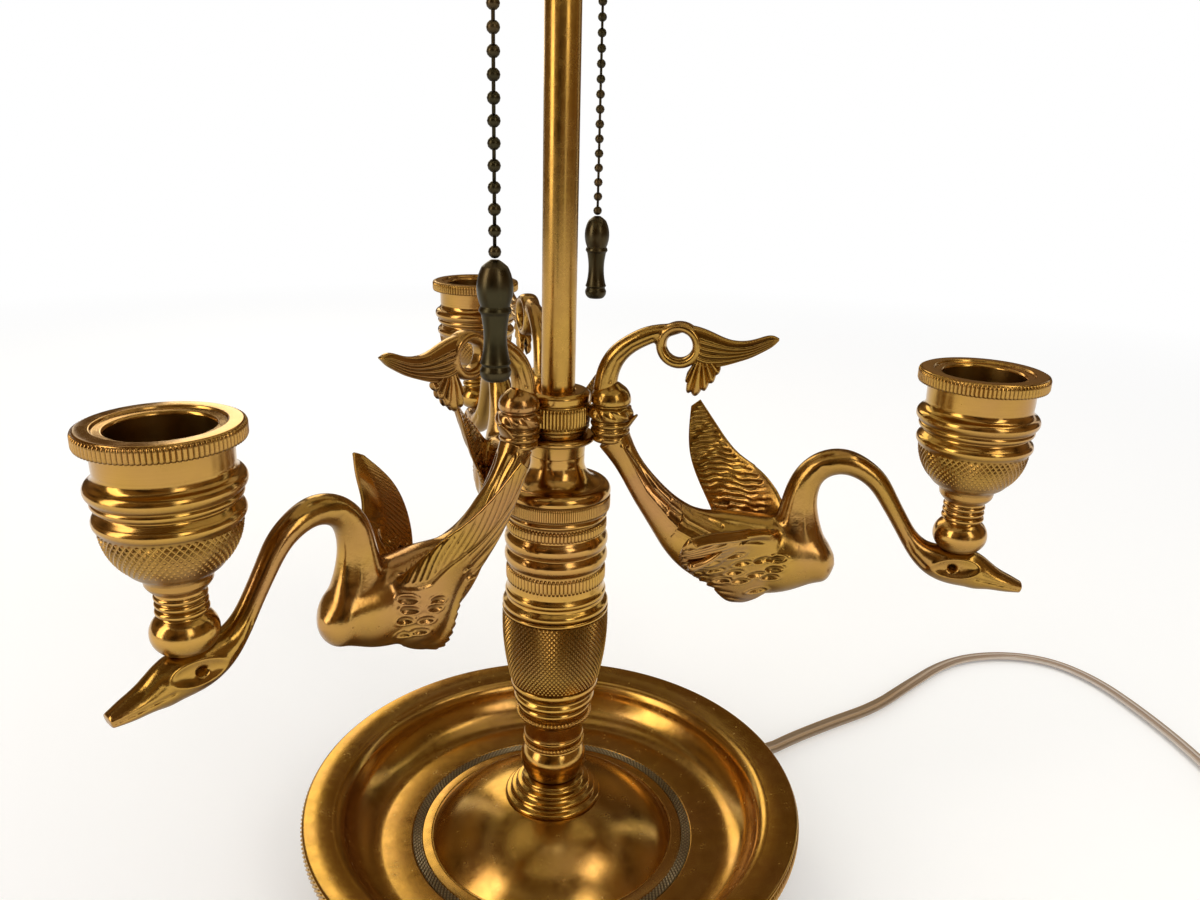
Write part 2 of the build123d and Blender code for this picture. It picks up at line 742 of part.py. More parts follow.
# ---------------------------------------------------------------- light cluster
with BuildPart() as cluster_body:
    z = CLUSTER_Z
    turn(
        (STEM_SEAT_R, z),
        (STEM_SEAT_R + 2.0, z),
        (STEM_SEAT_R + 2.6, z + 2.0),
        (CLUSTER_R - 4.5, z + 4.0),
        (CLUSTER_R, z + 9.0),
        (CLUSTER_R, z + 19.0),
        (CLUSTER_R - 4.5, z + 24.0),
        (ROD_R + 3.6, CLUSTER_TOP_Z),
        (0, CLUSTER_TOP_Z),
        (0, z + CLUSTER_SEAT + 1.0),
        (STEM_BORE_R, z + CLUSTER_SEAT + 1.0),
        (STEM_BORE_R, STEM_TOP_Z),
        (STEM_SEAT_R, STEM_TOP_Z),
    )
save(cluster_body, "cluster_body")


def branch(azimuth):
    """Tube that leaves the cluster level and bends up to a socket."""
    start = CLUSTER_R - 0.2
    path_plane = Plane(origin=(0, 0, 0), x_dir=polar(1, azimuth),
                       z_dir=(sin(radians(azimuth)), -cos(radians(azimuth)), 0))
    with BuildLine(path_plane) as path:
        FilletPolyline((start, BRANCH_Z), (LIGHT_REACH, BRANCH_Z), (LIGHT_REACH, SOCKET_Z),
                       radius=BRANCH_BEND)
    with BuildSketch(Plane(origin=polar(start, azimuth, BRANCH_Z), z_dir=polar(1, azimuth))) as section:
        Circle(BRANCH_R)
    sweep(section.sketch, path=path.line)


def socket_cap(centre):
    """Spun cap that closes a socket's foot."""
    z = SOCKET_Z
    turn(
        (0, z),
        (BRANCH_R + 1.6, z),
        (BRANCH_R + 1.6, z + 2.4),
        (SOCKET_R - 2.6, z + 7.4),
        (SOCKET_R + SOCKET_WALL, SHELL_Z - 3.4),
        (SOCKET_R + SOCKET_WALL, SHELL_Z),
        (SOCKET_R, SHELL_Z),
        (SOCKET_R - 0.4, SHELL_Z - 3.2),
        (SOCKET_R - 3.6, z + 8.4),
        (BRANCH_R + 0.8, z + 3.4),
        (0, z + 3.4),
        centre=centre,
    )


def socket_shell(azimuth, centre):
    """Straight brass shell with a hole for the chain outlet."""
    z = SHELL_Z
    top = z + SOCKET_SHELL_H
    turn((SOCKET_R - SOCKET_WALL, z), (SOCKET_R, z),
         (SOCKET_R, top), (SOCKET_R - SOCKET_WALL, top), centre=centre)
    with BuildSketch(Plane(origin=(*centre, OUTLET_PIPE_Z), z_dir=polar(1, azimuth))) as hole:
        Circle(OUTLET_PIPE_R + RUNNING)
    extrude(hole.sketch, amount=SOCKET_R + 2, mode=Mode.SUBTRACT)


def switch_body(centre):
    """Moulded insulator that holds the switch and the lamp contacts."""
    low = SOCKET_Z + 3.4
    turn(
        (0, low),
        (BRANCH_R + 0.6, low),
        (SOCKET_R - 4.2, SOCKET_Z + 8.6),
        (SOCKET_R - 1.2, SHELL_Z),
        (SOCKET_R - 1.2, SWITCH_BODY_TOP_Z),
        (CONTACT_R + 1.5, SWITCH_BODY_TOP_Z),
        (CONTACT_R + 1.5, CONTACT_Z),
        (0, CONTACT_Z),
        centre=centre,
    )


def chain_outlet(azimuth):
    """Pipe out of the shell that ends in a small bell, open downwards, for the chain."""
    hang = polar(OUTLET_REACH, azimuth)[:2]
    with BuildSketch(Plane(origin=polar(LIGHT_REACH + SOCKET_R - 0.9, azimuth, OUTLET_PIPE_Z),
                           z_dir=polar(1, azimuth))) as pipe:
        Circle(OUTLET_PIPE_R)
    extrude(pipe.sketch, amount=OUTLET_REACH - LIGHT_REACH - SOCKET_R + 0.9)
    top = OUTLET_Z + OUTLET_H
    turn(
        (0, OUTLET_Z),
        (OUTLET_R + 0.8, OUTLET_Z),
        (OUTLET_R + 0.8, OUTLET_Z + 0.8),
        (OUTLET_R, OUTLET_Z + 2.6),
        (OUTLET_R, top - 0.7),
        (OUTLET_R - 1.0, top),
        (0, top),
        centre=hang,
    )
    bore(OUTLET_BORE_R, OUTLET_Z, top - 1.0, hang)


def switch_link(centre):
    """Moving end of the switch: a plunger in the outlet and the coupling that the chain hangs from."""
    low = LINK_HEAD_Z
    neck = OUTLET_BORE_R - RUNNING
    turn(
        (0, low),
        (LINK_HEAD_R - 0.6, low),
        (LINK_HEAD_R, low + 0.8),
        (LINK_HEAD_R, low + LINK_HEAD_H - 1.4),
        (neck, low + LINK_HEAD_H - 0.4),
        (neck, OUTLET_Z + OUTLET_H - 1.6),
        (0, OUTLET_Z + OUTLET_H - 1.6),
        centre=centre,
    )


def pull_chain(centre):
    """Ball chain that hangs straight: faceted beads on a wire."""
    bottom = CHAIN_TOP_Z - (BEADS - 1) * BEAD_PITCH
    for i in range(BEADS):
        z = CHAIN_TOP_Z - i * BEAD_PITCH
        slices = []
        for dz, r in ((-BEAD_R, 0.5 * BEAD_R), (0, BEAD_R), (BEAD_R, 0.5 * BEAD_R)):
            with BuildSketch(Plane.XY.offset(z + dz)) as flat:
                with Locations(centre):
                    RegularPolygon(r, BEAD_SIDES)
            slices.append(flat.sketch)
        loft(slices[:2], ruled=True)
        loft(slices[1:], ruled=True)
    with BuildSketch(Plane.XY.offset(bottom)) as wire:
        with Locations(centre):
            RegularPolygon(CHAIN_CORE_R, 4)
    extrude(wire.sketch, amount=CHAIN_TOP_Z - bottom)


def pull_handle(centre):
    """Turned handle: acorn top, waist, bell skirt and a ringed foot."""
    top = HANDLE_TOP_Z
    low = top - HANDLE_L
    turn(
        (0, low),
        (HANDLE_R - 1.4, low),
        (HANDLE_R - 0.7, low + 1.6),
        (HANDLE_R - 0.7, low + 3.6),
        (HANDLE_R - 1.2, low + 4.6),
        (HANDLE_R - 1.5, top - 16.0),
        (HANDLE_R - 0.9, top - 13.0),
        (HANDLE_R - 0.3, top - 12.0),
        (HANDLE_R - 0.4, top - 10.6),
        (HANDLE_R, top - 7.0),
        (HANDLE_R - 0.7, top - 3.0),
        (HANDLE_R - 2.8, top),
        (0, top),
        centre=centre,
    )


for name, azimuth in zip(("front", "rear"), LIGHT_AZ):
    middle = polar(LIGHT_REACH, azimuth)[:2]
    hang = polar(OUTLET_REACH, azimuth)[:2]
    with BuildPart() as cluster_branch:
        branch(azimuth)
        with BuildSketch(Plane.XY.offset(CLUSTER_Z + 9.0)) as core:
            Circle(CLUSTER_R)
        extrude(core.sketch, amount=10.0, mode=Mode.SUBTRACT)
    save(cluster_branch, f"cluster_branch_{name}")
    with BuildPart() as cap:
        socket_cap(middle)
    save(cap, f"socket_cap_{name}")
    with BuildPart() as shell:
        socket_shell(azimuth, middle)
    save(shell, f"socket_shell_{name}")
    with BuildPart() as insulator:
        switch_body(middle)
    save(insulator, f"switch_body_{name}")
    liner_out = SOCKET_R - SOCKET_WALL - 0.1
    liner_top = SHELL_Z + SOCKET_SHELL_H - 1.0
    with BuildPart() as liner:
        turn((liner_out - LINER_WALL, SWITCH_BODY_TOP_Z), (liner_out, SWITCH_BODY_TOP_Z),
             (liner_out, liner_top), (liner_out - LINER_WALL, liner_top), centre=middle)
    save(liner, f"socket_liner_{name}")
    with BuildPart() as screw_shell:
        shell_out = SCREW_SHELL_R + SCREW_SHELL_WALL
        shell_top = SWITCH_BODY_TOP_Z + SCREW_SHELL_H
        turn((SCREW_SHELL_R, SWITCH_BODY_TOP_Z), (shell_out, SWITCH_BODY_TOP_Z),
             (shell_out, shell_top), (SCREW_SHELL_R, shell_top), centre=middle)
    save(screw_shell, f"screw_shell_{name}")
    with BuildPart() as contact:
        with BuildSketch(Plane.XY.offset(CONTACT_Z)):
            with Locations(middle):
                Circle(CONTACT_R)
        extrude(amount=CONTACT_H, taper=20)
    save(contact, f"centre_contact_{name}")
    with BuildPart() as outlet:
        chain_outlet(azimuth)
    save(outlet, f"chain_outlet_{name}")
    with BuildPart() as link:
        switch_link(hang)
    save(link, f"switch_link_{name}")
    with BuildPart() as chain:
        pull_chain(hang)
    save(chain, f"pull_chain_{name}")
    with BuildPart() as handle:
        pull_handle(hang)
    save(handle, f"pull_handle_{name}")

# ---------------------------------------------------------------- shade and its carrier
with BuildPart() as shade_rod:
    turn((0, CLUSTER_TOP_Z), (ROD_R, CLUSTER_TOP_Z), (ROD_R, ROD_TOP_Z), (0, ROD_TOP_Z))
save(shade_rod, "shade_rod")

with BuildPart() as shade_carrier:
    carrier_bore = ROD_R + RUNNING
    turn(
        (carrier_bore, CARRIER_Z),
        (CARRIER_R - 1.0, CARRIER_Z),
        (CARRIER_R, CARRIER_Z + 1.0),
        (CARRIER_R, CARRIER_TOP_Z - 1.0),
        (CARRIER_R - 1.0, CARRIER_TOP_Z),
        (carrier_bore, CARRIER_TOP_Z),
    )
    screw_z = CARRIER_Z + 0.3 * CARRIER_H
    with BuildSketch(Plane(origin=(0, 0, screw_z), z_dir=(1, 0, 0))) as screw_hole:
        Circle(THUMBSCREW_R + RUNNING)
    extrude(screw_hole.sketch, amount=CARRIER_R + 1, mode=Mode.SUBTRACT)
save(shade_carrier, "shade_carrier")

with BuildPart() as thumbscrew:
    tip = ROD_R + AIR
    shank = Plane(origin=(tip, 0, screw_z), z_dir=(1, 0, 0))
    with BuildSketch(shank):
        Circle(THUMBSCREW_R)
    extrude(amount=THUMBSCREW_L)
    with BuildSketch(Plane(origin=(0, THUMB_T / 2, 0), x_dir=(1, 0, 0), z_dir=(0, -1, 0))) as thumb:
        with Locations((tip + THUMBSCREW_L + 0.6 * THUMB_R, screw_z)):
            Ellipse(0.7 * THUMB_R, THUMB_R)
    extrude(thumb.sketch, amount=THUMB_T)
save(thumbscrew, "thumbscrew")

with BuildPart() as shade_spider:
    spider_z = CARRIER_TOP_Z - SPOKE_R - 2.0
    slope = (SHADE_LOW_R - SHADE_TOP_R) / SHADE_H
    wall_inside = SHADE_TOP_R + slope * (SHADE_TOP_Z - spider_z - SPOKE_R) - SHADE_WALL * 1.2 - 0.1
    with BuildSketch(Plane.XY.offset(spider_z - SPOKE_R)):
        Circle(wall_inside)
        Circle(wall_inside - SPIDER_RING_W, mode=Mode.SUBTRACT)
    extrude(amount=2 * SPOKE_R)
    for azimuth in (-12, 108, 228):
        spoke_plane = Plane(origin=polar(CARRIER_R, azimuth, spider_z), z_dir=polar(1, azimuth))
        with BuildSketch(spoke_plane) as spoke:
            Circle(SPOKE_R)
        extrude(spoke.sketch, amount=wall_inside - CARRIER_R - 1.0)
    bore(CARRIER_R, spider_z - SPOKE_R, spider_z + SPOKE_R)
save(shade_spider, "shade_spider")

with BuildPart() as shade:
    side_room = SHADE_WALL * 1.17
    turn(
        (SHADE_LOW_R - side_room, SHADE_LOW_Z),
        (SHADE_LOW_R, SHADE_LOW_Z),
        (SHADE_TOP_R, SHADE_TOP_Z),
        (SHADE_TOP_R - side_room, SHADE_TOP_Z),
    )
save(shade, "shade")

with BuildPart() as finial:
    z = ROD_TOP_Z
    turn(
        (0, z),
        (ROD_R + 1.8, z),
        (ROD_R + 1.8, z + 3.0),
        (ROD_R, z + 5.0),
        (FINIAL_R - 1.2, z + 8.6),
        (FINIAL_R, z + 12.5),
        (FINIAL_R - 1.4, z + 16.6),
        (ROD_R, z + 20.0),
        (ROD_R - 0.6, z + 21.5),
        (ROD_R + 0.2, z + 24.0),
        (0, z + FINIAL_H),
    )
save(finial, "finial")

# ---------------------------------------------------------------- cord, coil and plug
exit_reach = FOOT_R + RELIEF_L
exit_point = polar(exit_reach, CORD_AZ, CORD_EXIT_Z)

with BuildPart() as cord_relief:
    relief_low = FOOT_R - FOOT_WALL - 1.5
    relief_plane = Plane(origin=(0, 0, CORD_EXIT_Z), x_dir=polar(1, CORD_AZ),
                         z_dir=(sin(radians(CORD_AZ)), -cos(radians(CORD_AZ)), 0))
    revolve(
        outline(
            relief_plane,
            (relief_low, 0),
            (relief_low, RELIEF_R),
            (FOOT_R + AIR, RELIEF_R),
            (FOOT_R + AIR, RELIEF_FLANGE_R),
            (FOOT_R + AIR + RELIEF_FLANGE_T, RELIEF_FLANGE_R),
            (FOOT_R + AIR + RELIEF_FLANGE_T, RELIEF_R),
            (exit_reach, RELIEF_TIP_R),
            (exit_reach, 0),
        ),
        axis=Axis((0, 0, CORD_EXIT_Z), polar(1, CORD_AZ)),
    )
save(cord_relief, "cord_relief")


def corner_radii(points):
    """For each corner of a route, the largest arc that its two runs allow."""
    radii = []
    for before, corner, after in zip(points, points[1:], points[2:]):
        arriving = Vector(*corner) - Vector(*before)
        leaving = Vector(*after) - Vector(*corner)
        half_turn = radians(arriving.get_angle(leaving)) / 2
        radii.append(0.45 * min(arriving.length, leaving.length) / tan(half_turn))
    return radii


def tube_along(points):
    """Round cord along straight runs joined by arcs; returns its length."""
    radii = corner_radii(points)
    with BuildLine() as path:
        FilletPolyline(*points, radius=radii)
    start = Vector(*points[0])
    with BuildSketch(Plane(origin=start, z_dir=Vector(*points[1]) - start)) as section:
        Circle(CORD_R)
    sweep(section.sketch, path=path.line)
    length = sum(edge.length for edge in path.edges())
    print("cord radii", [round(radius) for radius in radii], "length", round(length))
    return length


# The cord reaches the coil's outermost turn on its left side, heading for -Y, and leaves it on the right.
outer_turn = COIL_R + CORD_R * (COIL_TURNS_WIDE - 1)
coil_in = (COIL_CENTRE[0] - outer_turn, COIL_CENTRE[1] + COIL_LEAD, ON_TABLE)
coil_out = (COIL_CENTRE[0] + outer_turn, COIL_CENTRE[1] + COIL_LEAD, ON_TABLE)
plug_z = ON_TABLE - CORD_R + PLUG_H / 2
plug_back = (coil_out[0] + 2.0, coil_out[1] + 36.0, plug_z)
tail_rise = (coil_out[0], coil_out[1] + 12.0, ON_TABLE)
tail_level = (plug_back[0], plug_back[1] - 12.0, plug_z)

with BuildPart() as cord:
    straight_out = polar(exit_reach + 18.0, CORD_AZ, CORD_EXIT_Z)
    laid = tube_along([exit_point, straight_out, *CORD_ROUTE, coil_in])
save(cord, "cord")

with BuildPart() as cord_tail:
    tail = tube_along([coil_out, tail_rise, tail_level, plug_back])
save(cord_tail, "cord_tail")
print("cord's volume", round(cord.part.volume), "section times length", round(pi * CORD_R**2 * laid))
print("turns in the coil", round((CORD_LENGTH - laid - tail) / (2 * pi * COIL_R), 1))

with BuildPart() as cord_coil:
    half = COIL_TURNS_WIDE * CORD_R
    high = 2 * COIL_TURNS_HIGH * CORD_R
    turn(
        (COIL_R - half + CORD_R / 2, ON_TABLE - CORD_R),
        (COIL_R + half - CORD_R / 2, ON_TABLE - CORD_R),
        (COIL_R + half, ON_TABLE),
        (COIL_R + half, high - CORD_R),
        (COIL_R + half - CORD_R, high),
        (COIL_R - half + CORD_R, high),
        (COIL_R - half, high - CORD_R),
        (COIL_R - half, ON_TABLE),
        centre=COIL_CENTRE,
    )
    with BuildSketch(Plane(origin=coil_in, x_dir=(1, 0, 0), z_dir=(0, -1, 0))) as ends:
        with Locations((0, 0), (2 * outer_turn, 0)):
            Circle(CORD_R)
    extrude(ends.sketch, amount=COIL_LEAD)
save(cord_coil, "cord_coil")

plug_frame = Plane(origin=plug_back, x_dir=(1, 0, 0), z_dir=(0, 1, 0))
with BuildPart() as plug:
    slices = []
    shoulder = (0.3 * PLUG_L, PLUG_W - 3.0, PLUG_H - 1.0)
    for along, wide, high in ((0, 9.0, 7.5), shoulder, (PLUG_L, PLUG_W, PLUG_H)):
        with BuildSketch(plug_frame.offset(along)) as section:
            RectangleRounded(wide, high, 3.0)
        slices.append(section.sketch)
    loft(slices, ruled=True)
save(plug, "plug")

with BuildPart() as plug_blades:
    with BuildSketch(plug_frame.offset(PLUG_L)):
        with Locations((-BLADE_GAP / 2, 0), (BLADE_GAP / 2, 0)):
            Rectangle(BLADE_T, BLADE_W)
    extrude(amount=BLADE_L)
save(plug_blades, "plug_blades")
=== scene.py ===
"""Brass table lamp with three swan arms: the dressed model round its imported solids."""
import math
from typing import Callable, NamedTuple

import bpy
import numpy as np
from bpy.props import FloatProperty, FloatVectorProperty, IntProperty, PointerProperty
from bpy.types import Operator, Panel, PropertyGroup
from mathutils import Matrix, Vector


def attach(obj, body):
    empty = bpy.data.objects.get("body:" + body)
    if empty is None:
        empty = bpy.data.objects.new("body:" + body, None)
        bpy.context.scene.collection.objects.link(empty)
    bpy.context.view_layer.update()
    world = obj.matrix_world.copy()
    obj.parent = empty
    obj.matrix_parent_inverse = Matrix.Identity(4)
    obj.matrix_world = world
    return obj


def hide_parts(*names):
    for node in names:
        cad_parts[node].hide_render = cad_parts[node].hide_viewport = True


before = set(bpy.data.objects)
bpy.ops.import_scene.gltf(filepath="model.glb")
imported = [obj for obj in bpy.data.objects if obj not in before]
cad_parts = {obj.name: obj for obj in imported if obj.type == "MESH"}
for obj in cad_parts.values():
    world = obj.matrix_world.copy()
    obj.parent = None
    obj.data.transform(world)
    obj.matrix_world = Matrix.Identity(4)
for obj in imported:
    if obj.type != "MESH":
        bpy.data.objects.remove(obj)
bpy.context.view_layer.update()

bl_info = {
    "name": "Swan lamp",
    "version": (1, 0, 0),
    "blender": (4, 5, 0),
    "location": "View3D > Sidebar > Lamp",
    "description": "Builds a brass table lamp with swan arms, candle cups, pull chains and a shade",
    "category": "Add Mesh",
}

MM = 0.001                       # profiles and castings are worked out in millimetres
TURN = 2 * math.pi
LEFT_AZ, RIGHT_AZ, BACK_AZ = -133.5, -13.5, 106.5
CUP_REACH = 127.4                # column's axis to a candle cup's axis
HEAD_Z = 140.6                   # where a cup stands on a swan's head
CUP_HEIGHT = 56.2
LIGHTS = {"front": -104.0, "rear": 78.0}
SOCKET_REACH, CHAIN_REACH = 42.0, 65.0
PIPE_RADIUS, DOME_TOP = 5.0, 29.0    # the pipe inside the column, and the top of the dish's dome
ROOT = "lamp"


# ---------------------------------------------------------------- sizes and colours a user would change
def colour_setting(title, use, default):
    """Setting for a colour."""
    return FloatVectorProperty(name=title, description=use, default=default, subtype="COLOR", size=3, min=0,
                               max=1)


def length_setting(title, use, default, low, high):
    """Setting for a length in metres."""
    return FloatProperty(name=title, description=use, default=default, min=low, max=high, subtype="DISTANCE")


def power_setting(title, use, default):
    """Setting for a lamp's power."""
    return FloatProperty(name=title, description=use, default=default, min=0, subtype="POWER")


class StageSettings(PropertyGroup):
    """Floor, lamps and the studio's panels."""
    floor_colour: colour_setting("Floor", "Colour of the floor", (0.90, 0.90, 0.90))
    panel_colour: colour_setting("Panels", "Lighter colour of the panels that metal mirrors",
                                 (0.235, 0.148, 0.066))
    dark_colour: colour_setting("Dark panels", "Darker colour of the same panels", (0.042, 0.022, 0.008))
    key_power: power_setting("Key", "Power of the tall lamp on the left", 5.0)
    fill_power: power_setting("Fill", "Power of the lamp on the right", 1.7)


class BrassSettings(PropertyGroup):
    """Finish of the brass."""
    clean: colour_setting("Brass", "Colour of clean polished brass", (0.54, 0.312, 0.066))
    copper: colour_setting("Copper tint", "Colour of the redder patches", (0.52, 0.27, 0.105))
    # the tarnish colour is also the colour of the painted shade on undersides
    dirt: colour_setting("Tarnish", "Colour of old tarnish in hollows", (0.060, 0.030, 0.006))
    bronze: colour_setting("Bronze", "Colour of the darkened chains and handles", (0.060, 0.050, 0.024))


class CarvingSettings(PropertyGroup):
    """Sizes of cut and cast detail."""
    casting_grain: length_setting("Casting grain", "Cell size of the cast arms' surface", 0.00042, 0.0002,
                                  0.002)
    turned_sides: IntProperty(name="Turned sides", description="Sides of a turned piece", default=160, min=24,
                              max=512)


class CordSettings(PropertyGroup):
    """The mains lead."""
    length: length_setting("Length", "Length of the lead without its plug", 1.8, 0.1, 10.0)
    diameter: length_setting("Width", "Width of the twin lead", 0.0046, 0.001, 0.02)
    colour: colour_setting("Lead", "Colour of the clear golden sleeve", (0.34, 0.225, 0.125))


class ShadeSettings(PropertyGroup):
    """The painted shade."""
    paint: colour_setting("Paint", "Colour outside", (0.012, 0.022, 0.016))
    lining: colour_setting("Lining", "Colour inside", (0.80, 0.76, 0.66))


# ---------------------------------------------------------------- curves and grids in numpy
def held(x):
    """x, held between 0 and 1."""
    return np.clip(x, 0, 1)


def bell(x):
    """Bell curve exp(-x^2)."""
    return np.exp(-x**2)


def normed(rows):
    """Rows of numbers, each divided by its length."""
    return rows / np.linalg.norm(rows, axis=1)[:, None]


def travelled(points):
    """Distance from the first of a row of points to each, along the row."""
    return np.concatenate([[0], np.cumsum(np.linalg.norm(np.diff(points, axis=0), axis=1))])


def beside(line):
    """Two ways square to a line at each of its points: level to its right, and over it."""
    ahead = normed(np.gradient(line, axis=0))
    side = normed(np.cross(ahead, (0, 0, 1)))
    return side, np.cross(side, ahead)


def steps_round(count):
    """Angles of so many even steps round a circle."""
    return TURN * np.arange(count) / count


def about(centre, radius, angle, height):
    """Points at a radius, angle and height about an upright axis through centre."""
    return np.stack(np.broadcast_arrays(centre[0] + radius * np.cos(angle),
                                        centre[1] + radius * np.sin(angle), height), -1)


def squarish(angle, power):
    """Cosine and sine whose sizes are raised to a power, which turns a circle into a fuller oval."""
    return [np.sign(f(angle)) * np.abs(f(angle))**power for f in (np.cos, np.sin)]


def flowing(knots, count, by=2):
    """Natural cubic spline through rows of numbers, at count even steps of the distance over their first
    columns."""
    knots = np.array(knots, float)
    run = np.linalg.norm(np.diff(knots[:, :by], axis=0), axis=1)
    t = np.concatenate([[0.0], np.cumsum(run)])
    n = len(t)
    system, right = np.eye(n), np.zeros_like(knots)
    for i in range(1, n - 1):
        system[i, i - 1:i + 2] = run[i - 1], 2 * (run[i - 1] + run[i]), run[i]
        right[i] = 6 * ((knots[i + 1] - knots[i]) / run[i] - (knots[i] - knots[i - 1]) / run[i - 1])
    bend = np.linalg.solve(system, right)
    s = np.linspace(0, t[-1], count)
    i = np.clip(np.searchsorted(t, s, side="right") - 1, 0, n - 2)
    h, a, b = run[i][:, None], (t[i + 1] - s)[:, None], (s - t[i])[:, None]
    return ((bend[i] * a**3 + bend[i + 1] * b**3) / (6 * h) + (knots[i] / h - bend[i] * h / 6) * a
            + (knots[i + 1] / h - bend[i + 1] * h / 6) * b)


def profile(start, *steps, fine=10, soft=0.28, lift=0.0):
    """Outline of (radius, height): a step of two numbers is a line, one of four an arc through a point to an
    end. Corners between straight lines are eased by the quadratic curve from soft before the corner to soft
    after it, and all heights are raised by lift."""
    points, kinds, here = [np.array(start, float)], [True], np.array(start, float)
    for step in steps:
        if len(step) == 2:
            points.append(np.array(step, float))
            kinds.append(True)
        else:
            through, end = np.array(step[:2], float), np.array(step[2:], float)
            m = np.array([through - here, end - here]) * 2
            centre = np.linalg.solve(m, np.array([through @ through - here @ here, end @ end - here @ here]))
            first, mid, last = (math.atan2(*(p - centre)[::-1]) for p in (here, through, end))
            ahead = (last - first) % TURN
            if (mid - first) % TURN > ahead:
                ahead -= TURN
            angles = first + ahead * np.linspace(0, 1, fine + 1)[1:]
            arc = centre + np.linalg.norm(here - centre) * np.stack([np.cos(angles), np.sin(angles)], 1)
            points.extend(arc)
            kinds.extend([False] * (fine - 1) + [True])
        here = points[-1]
    eased = [points[0]]
    for before, corner, after, sharp in zip(points, points[1:], points[2:], kinds[1:]):
        reach_in, reach_out = np.linalg.norm(before - corner), np.linalg.norm(after - corner)
        cut = min(soft, 0.42 * reach_in, 0.42 * reach_out)
        if not sharp or cut < 0.02:
            eased.append(corner)
            continue
        p = corner + (before - corner) * cut / reach_in
        q = corner + (after - corner) * cut / reach_out
        w = np.linspace(0, 1, 4)[:, None]
        eased.extend((1 - w)**2 * p + 2 * w * (1 - w) * corner + w**2 * q)
    eased.append(points[-1])
    return np.array(eased) + (0, lift)


